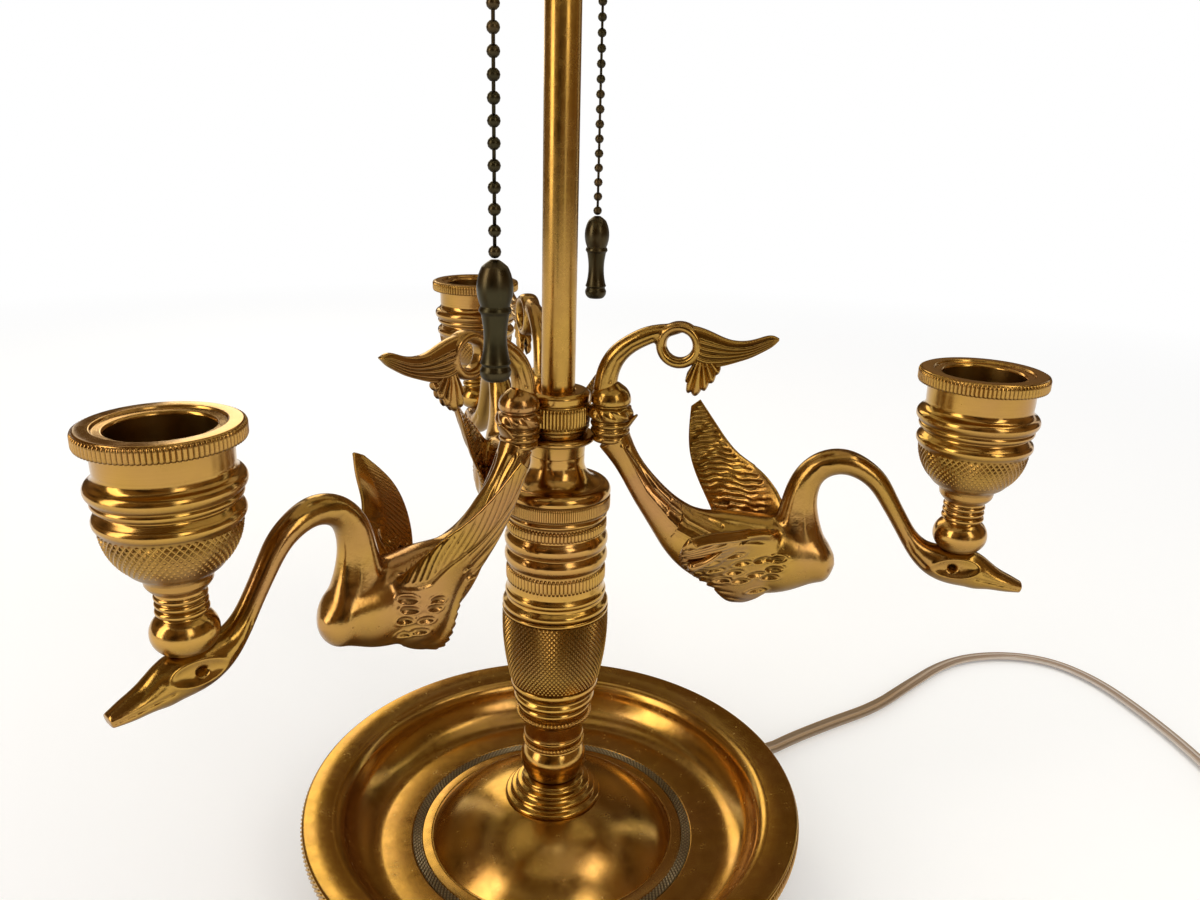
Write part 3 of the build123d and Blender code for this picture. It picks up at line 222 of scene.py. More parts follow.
class Work:
    """Grids of points, in millimetres, that become one mesh; each is a closed shell whose faces point out."""

    def __init__(self):
        self.points, self.faces, self.flat, self.marks = [], [], [], []
        self.total = 0

    def shell(self, points, faces, flat=False, patina=0.0):
        """Adds a closed shell; its faces are turned round if its signed volume, the sum of p0.(p1 x p2), is
        negative."""
        middle = points.mean(0)
        p = points - middle
        volume = sum(np.einsum("ij,ij->", p[f[:, 0]], np.cross(p[f[:, k]], p[f[:, k + 1]]))
                     for f in faces for k in range(1, f.shape[1] - 1))
        for f in faces:
            self.faces.append((f[:, ::-1] if volume < 0 else f) + self.total)
            self.flat.append(np.full(len(f), flat))
        self.points.append(points)
        self.marks.append(np.broadcast_to(np.asarray(patina, float), (len(points),)))
        self.total += len(points)

    def grid(self, points, ring=False, patina=0.0):
        """Rows and columns of points. The last column joins the first, a ring's last row its first, and an
        open end is closed by a fan to its middle; a row that is all one point is that middle."""
        points = np.asarray(points, float)
        patina = np.broadcast_to(np.asarray(patina, float), points.shape[:2])
        middles = []
        if not ring:
            for row in (0, -1):
                if np.ptp(points[row], axis=0).max() < 1e-9:
                    middles.append((points[row][0], patina[row][0]))
                    points = points[1:] if row == 0 else points[:-1]
                    patina = patina[1:] if row == 0 else patina[:-1]
                else:
                    middles.append((points[row].mean(0), patina[row].mean()))
        rows, cols = points.shape[:2]
        index = np.arange(rows * cols).reshape(rows, cols)
        index = np.hstack([index, index[:, :1]])
        if ring:
            index = np.vstack([index, index[:1]])
        quads = np.stack([index[:-1, :-1], index[:-1, 1:], index[1:, 1:], index[1:, :-1]], -1).reshape(-1, 4)
        faces, flat_points, flat_patina = [quads], points.reshape(-1, 3), patina.reshape(-1)
        if not ring:
            n = len(flat_points)
            flat_points = np.vstack([flat_points, middles[0][0], middles[1][0]])
            flat_patina = np.append(flat_patina, [middles[0][1], middles[1][1]])
            first, last = index[0], index[-1]
            faces.append(np.stack([first[1:], first[:-1], np.full(cols, n)], -1))
            faces.append(np.stack([last[:-1], last[1:], np.full(cols, n + 1)], -1))
        self.shell(flat_points, faces, patina=flat_patina)

    def turned(self, outline, centre=(0, 0), sides=None, ring=False, patina=0.0):
        """Surface of turning: (radius cos a, radius sin a, height) for every point of the outline."""
        a = np.linspace(0, TURN, sides or settings().carving.turned_sides, endpoint=False)
        if np.ndim(patina):
            patina = np.asarray(patina, float)[:, None]
        self.grid(about(centre, outline[:, :1], a, outline[:, 1:]), ring=ring, patina=patina)

    def reeded(self, radius, low, high, count, depth, centre=(0, 0), lean=0.0, crown=0.0, bed=1.6):
        """Ring with notches: radius falls by depth between reeds, each reed a flat top with eased sides;
        lean turns the notches by that many reeds from the lower edge to the upper, crown rounds the band
        from edge to edge."""
        reed = np.array([-1.0, -0.25, 0.0, 0.0, -0.25, -1.0])
        a = TURN * (np.arange(count)[:, None] + np.linspace(0.04, 0.96, len(reed))).ravel() / count
        wave = np.tile(reed, count)
        rows = np.linspace(0, 1, 7)
        ease = 0.55 * depth * ((rows == 0) | (rows == 1))
        r = radius + wave * depth - ease[:, None] - crown * ((2 * rows - 1)**2)[:, None]
        turn = a + lean * TURN / count * (rows - 0.5)[:, None]
        z = (low + (high - low) * rows)[:, None]
        ends = [-1, 0]
        outer = about(centre, r, turn, z)
        inner = about(centre, radius - bed, turn[ends], z[ends])
        self.grid(np.concatenate([outer, inner]), ring=True, patina=0.65 * (wave < -0.5))

    def knurled(self, outline, around, depth, centre=(0, 0), rows=None, bed=1.6):
        """Band of diamonds along an outline: on a lattice of points that are tops and groove crossings by
        turns, tops stand out by depth, and each cell is split along its groove. Closed inside by a ring set
        in by bed."""
        length = travelled(outline)
        pitch = TURN * outline[:, 0].mean() / around
        rows = rows or max(2, int(round(length[-1] / (1.25 * pitch)) * 2))
        s = np.linspace(0, length[-1], rows + 1)
        r, z = np.interp(s, length, outline[:, 0]), np.interp(s, length, outline[:, 1])
        slope = normed(np.stack([np.gradient(r), np.gradient(z)], 1))
        a = steps_round(2 * around)
        top = (np.add.outer(np.arange(rows + 1), np.arange(2 * around)) % 2 == 0).astype(float)
        rise = depth * (top - 0.5)
        rr, zz = r[:, None] + slope[:, 1:] * rise, z[:, None] - slope[:, :1] * rise
        ends = [-1, 0]
        inner = about(centre, (r - bed * slope[:, 1])[ends, None], a, (z + bed * slope[:, 0])[ends, None])
        points = np.concatenate([about(centre, rr, a, zz), inner])
        n, m = points.shape[:2]
        index = np.arange(n * m).reshape(n, m)
        index = np.vstack([np.hstack([index, index[:, :1]]), np.hstack([index[:1], index[:1, :1]])])
        p, q, u, v = (index[:-1, :-1].ravel(), index[:-1, 1:].ravel(), index[1:, 1:].ravel(),
                      index[1:, :-1].ravel())
        even = (np.add.outer(np.arange(n), np.arange(m)) % 2 == 0).ravel()[:, None, None]
        one = np.stack([np.stack([p, q, v], -1), np.stack([q, u, v], -1)], 1)
        two = np.stack([np.stack([p, q, u], -1), np.stack([p, u, v], -1)], 1)
        faces = np.where(even, one, two).reshape(-1, 3)
        marks = np.concatenate([0.7 * (1 - top), np.zeros((2, 2 * around))])
        self.shell(points.reshape(-1, 3), [faces], True, marks.ravel())

    def beads(self, radius, height, size, count):
        """Row of touching beads: a ring whose thickness goes as 0.45 + 0.55 |sin| count times round."""
        a, s = steps_round(count * 8), steps_round(12)[:, None]
        thick = size * (0.45 + 0.55 * np.abs(np.sin(a * count / 2)))
        self.grid(about((0, 0), radius + thick * np.cos(s), a, height + thick * np.sin(s)), ring=True)


def hollowness(points, edges, normals, passes=2):
    """How hollow the surface is at each point: its neighbours' mean rise above its tangent plane over their
    distance, evened out with the neighbours' own values; below 0 on edges, above 0 in grooves."""
    a, b = edges[:, 0], edges[:, 1]
    step = points[b] - points[a]
    apart = np.maximum(np.linalg.norm(step, axis=1), 1e-9)
    count = np.maximum(np.bincount(a, minlength=len(points)) + np.bincount(b, minlength=len(points)), 1)
    value = (np.bincount(a, np.einsum("ij,ij->i", step, normals[a]) / apart, len(points))
             - np.bincount(b, np.einsum("ij,ij->i", step, normals[b]) / apart, len(points))) / count
    for _ in range(passes):
        around = np.bincount(a, value[b], len(points)) + np.bincount(b, value[a], len(points))
        value = 0.5 * value + 0.5 * around / count
    return value


def read(items, field, width, kind=float):
    """One field of all of a mesh's items as an array, a row for each item."""
    values = np.zeros(len(items) * width, kind)
    items.foreach_get(field, values)
    return values.reshape(-1, width)


def note(mesh, name, values):
    """Gives a mesh a number for each of its points."""
    mesh.attributes.new(name, "FLOAT", "POINT").data.foreach_set("value", values.astype(np.float32))


def put(name, data):
    """An object of this data, linked to the scene."""
    obj = bpy.data.objects.new(name, data)
    bpy.context.scene.collection.objects.link(obj)
    return obj


def mesh_of(name, work):
    """Finished work as a mesh in metres, with each point's patina and hollowness."""
    points, faces = np.concatenate(work.points) * MM, work.faces
    mesh = bpy.data.meshes.new(name)
    mesh.vertices.add(len(points))
    mesh.vertices.foreach_set("co", points.astype(np.float32).ravel())
    corners = np.concatenate([f.ravel() for f in faces])
    sizes = np.concatenate([np.full(len(f), f.shape[1]) for f in faces])
    mesh.loops.add(len(corners))
    mesh.loops.foreach_set("vertex_index", corners.astype(np.int32))
    mesh.polygons.add(len(sizes))
    mesh.polygons.foreach_set("loop_start", (np.cumsum(sizes) - sizes).astype(np.int32))
    mesh.polygons.foreach_set("use_smooth", ~np.concatenate(work.flat))
    mesh.update(calc_edges=True)
    mesh.validate()
    edges = read(mesh.edges, "vertices", 2, np.int32)
    note(mesh, "hollow", hollowness(points, edges, read(mesh.vertex_normals, "vector", 3, np.float32)))
    note(mesh, "patina", np.concatenate(work.marks))
    return mesh


def piece(name, work, finish, nodes, body=ROOT):
    """Puts finished work in the scene as one piece that rides on a body and stands for its solids."""
    obj = put(name, mesh_of(name, work))
    obj.data.materials.append(finish)
    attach(obj, body)
    if nodes:
        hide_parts(*nodes)
    return obj


def polar(reach, azimuth):
    """A plan point at a distance from the column's axis, in millimetres."""
    return (reach * math.cos(math.radians(azimuth)), reach * math.sin(math.radians(azimuth)))


def settings():
    """The add-on's settings of this scene."""
    return bpy.context.scene.swan_lamp


# ---------------------------------------------------------------- materials
def add(tree, kind, inputs=None, **options):
    """A shader node with its options set; an input is a value, or the socket that feeds it."""
    made = tree.nodes.new(kind)
    for key, value in options.items():
        setattr(made, key, value)
    for key, value in (inputs or {}).items():
        if isinstance(value, bpy.types.NodeSocket):
            tree.links.new(value, made.inputs[key])
        else:
            made.inputs[key].default_value = value
    return made


def maths(tree, operation, *values, clamp=False):
    """Result of a Math node."""
    return add(tree, "ShaderNodeMath", dict(enumerate(values)), operation=operation,
               use_clamp=clamp).outputs[0]


def mix_colour(tree, share, first, second):
    """Colour between two colours, by a Mix node's colour sockets."""
    made = tree.nodes.new("ShaderNodeMix")
    made.data_type = "RGBA"
    for socket, value in zip((made.inputs[0], made.inputs[6], made.inputs[7]), (share, first, second)):
        if isinstance(value, bpy.types.NodeSocket):
            tree.links.new(value, socket)
        else:
            socket.default_value = value
    return made.outputs[2]


def new_group(name, inputs, outputs):
    """An empty shader node group with named sockets: (name, kind, default) each."""
    group = bpy.data.node_groups.new(name, "ShaderNodeTree")
    for title, kind, default in inputs:
        socket = group.interface.new_socket(title, in_out="INPUT", socket_type="NodeSocket" + kind)
        socket.default_value = default
    for title, kind in outputs:
        group.interface.new_socket(title, in_out="OUTPUT", socket_type="NodeSocket" + kind)
    return group, group.nodes.new("NodeGroupInput").outputs, group.nodes.new("NodeGroupOutput").inputs


def ramp(tree, value, low, high, first=0.0, last=1.0):
    """A value that goes evenly from first to last while another goes from low to high, and no further."""
    return add(tree, "ShaderNodeMapRange", {"Value": value, "From Min": low, "From Max": high,
                                            "To Min": first, "To Max": last}).outputs[0]


def noise(tree, place, scale, detail, roughness=0.5):
    """Noise over a place."""
    return add(tree, "ShaderNodeTexNoise", {"Vector": place, "Scale": scale, "Detail": detail,
                                            "Roughness": roughness}).outputs["Fac"]


def marked(tree, name):
    """A number that the mesh holds for each of its points."""
    return add(tree, "ShaderNodeAttribute", attribute_name=name).outputs["Fac"]


def own_place(tree):
    """Place in the piece's own coordinates."""
    return add(tree, "ShaderNodeTexCoord").outputs["Object"]


def bumped(tree, shader, height, distance):
    """Feeds a height to a shader's normal."""
    bump = add(tree, "ShaderNodeBump", {"Height": height, "Distance": distance, "Strength": 1.0})
    tree.links.new(bump.outputs[0], shader.inputs["Normal"])


def rgba(colour, times=1.0):
    """A colour, made so many times as strong, with full alpha."""
    return (*(times * part for part in colour), 1.0)


def seen_rays(tree):
    """1 for what the eye, a mirror or clear glass shows, 0 for light that falls on things."""
    path = add(tree, "ShaderNodeLightPath").outputs
    seen = maths(tree, "MAXIMUM", path["Is Camera Ray"], path["Is Glossy Ray"])
    return maths(tree, "MAXIMUM", seen, path["Is Transmission Ray"])


def tarnish_group():
    """Old metal: patches of a second tint, dirt in hollows and patina, painted shade on undersides, specks,
    and roughness that follows them."""
    if "Tarnished metal" in bpy.data.node_groups:
        return bpy.data.node_groups["Tarnished metal"]
    # Underside Shade sets how strongly down-facing faces are painted darker as shade, in the dirt colour
    group, given, result = new_group(
        "Tarnished metal",
        [("Clean", "Color", (0.8, 0.5, 0.15, 1)), ("Tint", "Color", (0.8, 0.4, 0.15, 1)),
         ("Dirt", "Color", (0.1, 0.05, 0.02, 1)), ("Tint Share", "Float", 0.5), ("Dirt Share", "Float", 1.0),
         ("Specks", "Float", 0.5), ("Roughness", "Float", 0.15), ("Waviness", "Float", 0.3),
         ("Underside Shade", "Float", 0.6)],
        [("Color", "Color"), ("Roughness", "Float"), ("Height", "Float")])
    place = own_place(group)
    hollow = marked(group, "hollow")
    patina = marked(group, "patina")
    broad = noise(group, place, 38.0, 3.0)
    cloudy = noise(group, place, 210.0, 5.0, 0.65)
    fine = noise(group, place, 1300.0, 2.0)
    patches = ramp(group, broad, 0.42, 0.68)
    colour = mix_colour(group, maths(group, "MULTIPLY", patches, given["Tint Share"]), given["Clean"],
                        given["Tint"])
    # dirt lies where the surface is hollow, broken up by the cloudy noise
    depth = ramp(group, hollow, 0.03, 0.22)
    broken = maths(group, "MULTIPLY_ADD", cloudy, 1.3, 0.25, clamp=True)
    dirt_and_underside_shade = maths(group, "MULTIPLY", maths(group, "MULTIPLY", depth, broken), given["Dirt Share"])
    dirt_and_underside_shade = maths(group, "MAXIMUM", dirt_and_underside_shade, patina)
    # painted shade: faces that look down are darkened toward the dirt colour, by Underside Shade
    facing = add(group, "ShaderNodeSeparateXYZ",
                 {0: add(group, "ShaderNodeNewGeometry").outputs["Normal"]}).outputs["Z"]
    under = ramp(group, facing, 0.1, -0.65)
    dirt_and_underside_shade = maths(group, "MAXIMUM", dirt_and_underside_shade, maths(group, "MULTIPLY", under, given["Underside Shade"]))
    spots = add(group, "ShaderNodeTexVoronoi", {"Vector": place, "Scale": 330.0}).outputs["Distance"]
    near = ramp(group, spots, 0.16, 0.08)
    some = ramp(group, cloudy, 0.56, 0.66)
    speck = maths(group, "MULTIPLY", maths(group, "MULTIPLY", near, some), given["Specks"])
    dirt_and_underside_shade = maths(group, "MAXIMUM", dirt_and_underside_shade, speck, clamp=True)
    colour = mix_colour(group, dirt_and_underside_shade, colour, given["Dirt"])
    film = ramp(group, cloudy, 0.35, 0.75, -0.035, 0.10)
    rough = maths(group, "ADD", given["Roughness"], film)
    rough = maths(group, "ADD", rough, maths(group, "MULTIPLY", dirt_and_underside_shade, 0.32), clamp=True)
    height = maths(group, "ADD", maths(group, "MULTIPLY", cloudy, given["Waviness"]),
                   maths(group, "MULTIPLY", fine, 0.12))
    height = maths(group, "SUBTRACT", height, maths(group, "MULTIPLY", speck, 0.8))
    for title, socket in (("Color", colour), ("Roughness", rough), ("Height", height)):
        group.links.new(socket, result[title])
    return group


def lathe_group():
    """Fine tool marks of turning: noise stretched round the upright axis, so it changes with height alone."""
    if "Lathe lines" in bpy.data.node_groups:
        return bpy.data.node_groups["Lathe lines"]
    group, given, result = new_group("Lathe lines", [("Per Metre", "Float", 2600.0),
                                                     ("Strength", "Float", 0.5)], [("Height", "Float")])
    place = own_place(group)
    apart = add(group, "ShaderNodeSeparateXYZ", {0: place}).outputs
    high = maths(group, "MULTIPLY", apart["Z"], given["Per Metre"])
    spot = add(group, "ShaderNodeCombineXYZ", {"X": maths(group, "MULTIPLY", apart["X"], 20.0),
                                               "Y": maths(group, "MULTIPLY", apart["Y"], 20.0),
                                               "Z": high}).outputs[0]
    lines = noise(group, spot, 1.0, 3.0)
    group.links.new(maths(group, "MULTIPLY", lines, given["Strength"]), result["Height"])
    return group


def material(name):
    """A new material with its node tree emptied to one Principled shader."""
    made = bpy.data.materials.new(name)
    made.use_nodes = True
    tree = made.node_tree
    tree.nodes.clear()
    shader = tree.nodes.new("ShaderNodeBsdfPrincipled")
    out = tree.nodes.new("ShaderNodeOutputMaterial")
    tree.links.new(shader.outputs[0], out.inputs["Surface"])
    return made, tree, shader


def metal(name, clean, tint, dirt, roughness, tint_share=0.6, dirt_share=1.0, specks=0.5, waviness=0.3,
          lines=0.0, bump=0.00006):
    """Metal with tarnish and painted shade on its undersides, and lathe lines where it is turned."""
    if name in bpy.data.materials:
        return bpy.data.materials[name]
    made, tree, shader = material(name)
    old = add(tree, "ShaderNodeGroup", node_tree=tarnish_group())
    for key, value in (("Clean", rgba(clean)), ("Tint", rgba(tint)), ("Dirt", rgba(dirt)),
                       ("Tint Share", tint_share), ("Dirt Share", dirt_share), ("Specks", specks),
                       ("Roughness", roughness), ("Waviness", waviness)):
        old.inputs[key].default_value = value
    height = old.outputs["Height"]
    if lines:
        tool = add(tree, "ShaderNodeGroup", node_tree=lathe_group())
        tool.inputs["Strength"].default_value = lines
        height = maths(tree, "ADD", height, tool.outputs["Height"])
    bumped(tree, shader, height, bump)
    tree.links.new(old.outputs["Color"], shader.inputs["Base Color"])
    tree.links.new(old.outputs["Roughness"], shader.inputs["Roughness"])
    shader.inputs["Metallic"].default_value = 1.0
    return made


def brass(kind):
    """The lamp's brasses: cast, turned, spun for the dish, and the stem's satin tube."""
    b = settings().brass
    ways = {
        "cast": dict(roughness=0.17, tint_share=0.85, specks=0.8, waviness=0.75, bump=0.00011),
        "turned": dict(roughness=0.15, tint_share=0.55, specks=0.4, waviness=0.22, lines=0.30),
        "spun": dict(roughness=0.20, tint_share=0.45, specks=0.3, waviness=0.16, lines=0.05),
        "tube": dict(roughness=0.22, tint_share=0.30, specks=0.25, waviness=0.12),
    }
    shade = 0.86 if kind == "cast" else 1.0
    clean, copper = (rgba(colour, shade)[:3] for colour in (b.clean, b.copper))
    return metal(kind + " brass", clean, copper, b.dirt, **ways[kind])


def bronze():
    """Dark antique bronze of the chains and their handles."""
    b = settings().brass
    return metal("antique bronze", b.bronze, (0.16, 0.10, 0.045), (0.02, 0.016, 0.01), roughness=0.30,
                 specks=0.5, waviness=0.4, bump=0.00005)


def plain(name, colour, second, roughness, scale, metallic=0.0, bump=0.00008, sheen=0.0, coat=0.0):
    """Moulded, painted, felted or cast stuff: two colours by noise, grain in the surface."""
    if name in bpy.data.materials:
        return bpy.data.materials[name]
    made, tree, shader = material(name)
    place = own_place(tree)
    grain = noise(tree, place, scale, 6.0, 0.6)
    tree.links.new(mix_colour(tree, grain, rgba(colour), rgba(second)), shader.inputs["Base Color"])
    rough = ramp(tree, grain, 0.0, 1.0, roughness - 0.08, roughness + 0.12)
    tree.links.new(rough, shader.inputs["Roughness"])
    bumped(tree, shader, grain, bump)
    for key, value in (("Metallic", metallic), ("Sheen Weight", sheen), ("Coat Weight", coat), ("IOR", 1.5)):
        shader.inputs[key].default_value = value
    return made


def clear_lead():
    """Clear golden sleeve over two bundles of copper strands: two brown lobes with a paler web between and
    beside them, and further out a paler stretch that is a painted reflection."""
    if "clear golden lead" in bpy.data.materials:
        return bpy.data.materials["clear golden lead"]
    made, tree, shader = material("clear golden lead")
    colour = settings().cord.colour
    across = marked(tree, "across")
    along = marked(tree, "along")
    place = add(tree, "ShaderNodeCombineXYZ", {"X": maths(tree, "MULTIPLY", along, 700.0),
                                              "Y": maths(tree, "MULTIPLY", across, 3.0)}).outputs[0]
    strand = noise(tree, place, 1.0, 3.0)
    off = maths(tree, "ABSOLUTE", maths(tree, "SUBTRACT", maths(tree, "ABSOLUTE", across), 0.56))
    core = ramp(tree, off, 0.44, 0.26)
    core = maths(tree, "MULTIPLY", core, maths(tree, "MULTIPLY_ADD", strand, 0.5, 0.7), clamp=True)
    copper = mix_colour(tree, strand, rgba(colour, 0.45), rgba(colour, 0.75))
    near = mix_colour(tree, core, rgba(colour, 1.25), copper)
    # painted reflection: from about 0.11 m along the lead, its colour is blended toward these pale tones
    pale = mix_colour(tree, core, (0.80, 0.74, 0.68, 1), (0.42, 0.30, 0.22, 1))
    far = ramp(tree, along, 0.11, 0.22)
    tree.links.new(mix_colour(tree, maths(tree, "MULTIPLY", far, 0.7), near, pale),
                   shader.inputs["Base Color"])
    bumped(tree, shader, strand, 0.00004)
    for key, value in (("Roughness", 0.16), ("Coat Weight", 0.7), ("Coat Roughness", 0.06), ("IOR", 1.5)):
        shader.inputs[key].default_value = value
    return made


GILT_LINES = ((0.3525, 0.0014), (0.3565, 0.0007), (0.4905, 0.0007))    # height and half width on the shade


def shade_paint():
    """Dark enamel outside and pale lining inside, told apart by patina; worn gilt lines near the edges."""
    if "painted shade" in bpy.data.materials:
        return bpy.data.materials["painted shade"]
    made, tree, shader = material("painted shade")
    s = settings().shade
    place = own_place(tree)
    inside = marked(tree, "patina")
    height = add(tree, "ShaderNodeSeparateXYZ", {0: place}).outputs["Z"]
    cloud = noise(tree, place, 30.0, 6.0)
    outside = mix_colour(tree, cloud, rgba(s.paint), rgba(s.paint, 2.2))
    gilt = 0.0
    for middle, half in GILT_LINES:
        away = maths(tree, "ABSOLUTE", maths(tree, "SUBTRACT", height, middle))
        gilt = maths(tree, "MAXIMUM", gilt, maths(tree, "LESS_THAN", away, half))
    worn = maths(tree, "MULTIPLY", gilt, maths(tree, "MULTIPLY_ADD", cloud, 0.8, 0.45, clamp=True))
    outside = mix_colour(tree, worn, outside, (0.46, 0.26, 0.07, 1))
    tree.links.new(mix_colour(tree, inside, outside, rgba(s.lining)), shader.inputs["Base Color"])
    rough = ramp(tree, cloud, 0.0, 1.0, 0.26, 0.46)
    tree.links.new(rough, shader.inputs["Roughness"])
    fine = noise(tree, place, 240.0, 3.0)
    bumped(tree, shader, fine, 0.00006)
    shader.inputs["Coat Weight"].default_value = 0.25
    return made


def dress(node, finish):
    """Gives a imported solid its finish."""
    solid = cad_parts[node]
    solid.data.materials.clear()
    solid.data.materials.append(finish)


# ---------------------------------------------------------------- stage
CAMERA_PLACE = (0, -0.30303, 0.26162)
CAMERA_AHEAD = (0.04348267, 0.94812554, -0.31490827)
CAMERA_YAW, CAMERA_ROLL = 2.63, 1.60             # degrees
CAMERA_LENS, CAMERA_SENSOR = 29.38, 36.0         # millimetres
FLOOR_HALF = 6.0
FLOOR_WHITE_FROM, FLOOR_WHITE_TO = 0.35, 1.4     # distances over which the floor turns plain white
SOFT_WHITE = 0.72                                # light of the world on things; the eye sees 1
# lower and upper edge of a wall's panel and of the roof's, each a radius and a height
WALL, ROOF = ((1.5, 0.01), (1.5, 1.7)), ((1.5, 1.75), (0.25, 2.1))
PANELS = ((-142, -66, WALL), (-58, 30, WALL), (37, 124, WALL), (131, 209, WALL), (0, 360, ROOF))


def area_lamp(name, place, size, power, colour):
    """Soft rectangular lamp that faces the lamp's arms."""
    data = bpy.data.lights.new(name, "AREA")
    data.shape = "RECTANGLE"
    data.size, data.size_y = size
    data.energy, data.color = power, colour
    obj = put(name, data)
    obj.location = place
    obj.rotation_mode = "QUATERNION"
    obj.rotation_quaternion = (Vector((0, 0, 0.12)) - Vector(place)).to_track_quat("-Z", "Y")


class LAMP_OT_stage(Operator):
    """Camera, floor, lamps and world."""
    bl_idname = "lamp.stage"
    bl_label = "Stage"

    def execute(self, context):
        self.camera(context.scene)
        self.floor()
        self.lamps()
        self.panels()
        self.world(context.scene)
        context.scene.view_settings.view_transform = "Standard"
        return {"FINISHED"}

    def camera(self, scene):
        """Camera at the place and angle of the view, turned a little about its own axis."""
        data = bpy.data.cameras.new("camera")
        data.lens, data.sensor_width, data.clip_start = CAMERA_LENS, CAMERA_SENSOR, 0.01
        yaw, roll = math.radians(CAMERA_YAW), math.radians(CAMERA_ROLL)
        ahead = Vector(CAMERA_AHEAD)
        level = Vector((math.cos(yaw), -math.sin(yaw), 0))
        over = level.cross(ahead)
        across = math.cos(roll) * level + math.sin(roll) * over
        upward = -math.sin(roll) * level + math.cos(roll) * over
        place = Matrix((across, upward, -ahead)).transposed().to_4x4()
        place.translation = CAMERA_PLACE
        scene.camera = put("camera", data)
        scene.camera.matrix_world = place

    def floor(self):
        """Pale floor. The eye and mirrors see a little more than what falls on it, and plain white far
        away."""
        mesh = bpy.data.meshes.new("floor")
        corners = [(x * FLOOR_HALF, y * FLOOR_HALF, 0) for x, y in ((-1, -1), (1, -1), (1, 1), (-1, 1))]
        mesh.from_pydata(corners, [], [(0, 1, 2, 3)])
        cover, tree, shader = material("floor")
        shader.inputs["Base Color"].default_value = rgba(settings().stage.floor_colour)
        shader.inputs["Roughness"].default_value = 0.9
        shader.inputs["Specular IOR Level"].default_value = 0.1
        spot = own_place(tree)
        away = add(tree, "ShaderNodeVectorMath", {0: spot}, operation="LENGTH").outputs["Value"]
        far = ramp(tree, away, FLOOR_WHITE_FROM, FLOOR_WHITE_TO)
        white = add(tree, "ShaderNodeEmission", {"Color": (1, 1, 1, 1), "Strength": 1.0})
        lift = add(tree, "ShaderNodeEmission", {"Color": (1, 1, 1, 1), "Strength": 0.16})
        lit = add(tree, "ShaderNodeAddShader", {0: shader.outputs[0], 1: lift.outputs[0]})
        eye = add(tree, "ShaderNodeMixShader", {0: far, 1: lit.outputs[0], 2: white.outputs[0]})
        both = add(tree, "ShaderNodeMixShader", {0: seen_rays(tree), 1: shader.outputs[0], 2: eye.outputs[0]})
        tree.links.new(both.outputs[0], tree.nodes["Material Output"].inputs["Surface"])
        mesh.materials.append(cover)
        put("floor", mesh)

    def lamps(self):
        """Four soft lamps round the set."""
        s = settings().stage
        area_lamp("key", (-1.05, -0.50, 0.62), (0.45, 1.1), s.key_power, (1.0, 0.90, 0.80))
        area_lamp("fill", (0.66, -0.95, 0.80), (0.30, 0.70), s.fill_power, (1.0, 0.93, 0.84))
        area_lamp("top", (0.55, -0.20, 1.20), (0.50, 0.50), 2.4, (1.0, 0.94, 0.80))
        area_lamp("back", (-0.35, 0.95, 0.60), (0.30, 0.60), 1.3, (1.0, 0.92, 0.70))

    def panels(self):
        """Panels round and over the set, which only polished surfaces mirror: cloudy light and dark browns,
        and an even tone on the roof."""
        s = settings().stage
        finish, tree, shader = material("studio panel")
        shader.inputs["Base Color"].default_value = (0, 0, 0, 1)
        shader.inputs["Specular IOR Level"].default_value = 0.0
        spot = own_place(tree)
        cloud = noise(tree, spot, 1.25, 1.0)
        share = ramp(tree, cloud, 0.36, 0.64)
        high = add(tree, "ShaderNodeSeparateXYZ", {0: spot}).outputs["Z"]
        roof = ramp(tree, high, 1.65, 1.80)
        share = maths(tree, "ADD", maths(tree, "MULTIPLY", share, maths(tree, "SUBTRACT", 1.0, roof)),
                      maths(tree, "MULTIPLY", roof, 0.42))
        tree.links.new(mix_colour(tree, share, rgba(s.dark_colour), rgba(s.panel_colour)),
                       shader.inputs["Emission Color"])
        shader.inputs["Emission Strength"].default_value = 1.0
        steps = 24
        for i, (start, end, edges) in enumerate(PANELS):
            a = np.radians(np.linspace(start, end, steps + 1))
            points = np.concatenate([about((0, 0), radius, a, height) for radius, height in edges])
            mesh = bpy.data.meshes.new(f"panel_{i}")
            mesh.from_pydata(points.tolist(), [],
                             [(k, k + 1, k + steps + 2, k + steps + 1) for k in range(steps)])
            mesh.materials.append(finish)
            panel = put(f"panel_{i}", mesh)
            panel.visible_camera = panel.visible_diffuse = False
            panel.visible_shadow = panel.visible_transmission = False

    def world(self, scene):
        """White all round, a little brighter to the eye than as light."""
        world = bpy.data.worlds.new("studio")
        world.use_nodes = True
        tree = world.node_tree
        sky = tree.nodes["Background"]
        sky.inputs["Color"].default_value = (1, 1, 1, 1)
        light = maths(tree, "MULTIPLY_ADD", seen_rays(tree), 1 - SOFT_WHITE, SOFT_WHITE)
        tree.links.new(light, sky.inputs["Strength"])
        scene.world = world


# ---------------------------------------------------------------- mains lead
LEAD_START = (0.0687, 0.0429, 0.0065)
LEAD_ROUTE = [
    LEAD_START, (0.08396, 0.05246, 0.0065), (0.102, 0.066, 0.0022), (0.126, 0.0800, 0.0022),
    (0.152, 0.0935, 0.0022), (0.174, 0.1130, 0.0022), (0.203, 0.1375, 0.0022), (0.231, 0.1450, 0.0022),
    (0.257, 0.140, 0.0022), (0.273, 0.121, 0.0022), (0.281, 0.092, 0.0022), (0.286, 0.058, 0.0022),
]
LEAD_ROLL = [(0.0, -52), (0.09, -48), (0.135, -18), (0.17, 0), (2.0, 0)]
COIL_MIDDLE, COIL_TURNS, COIL_RADIUS = (0.3166, 0.014), 8.5, 0.026
LAYER_TURNS, LAYERS = 2.9, 3
LEAD_SIDES = 28                                   # points round the lead's section
PLUG_START, PLUG_LENGTH = (349.2, 67.0, 5.55), 26.0
BLADE_APART, BLADE_THICK = 12.7, 1.5
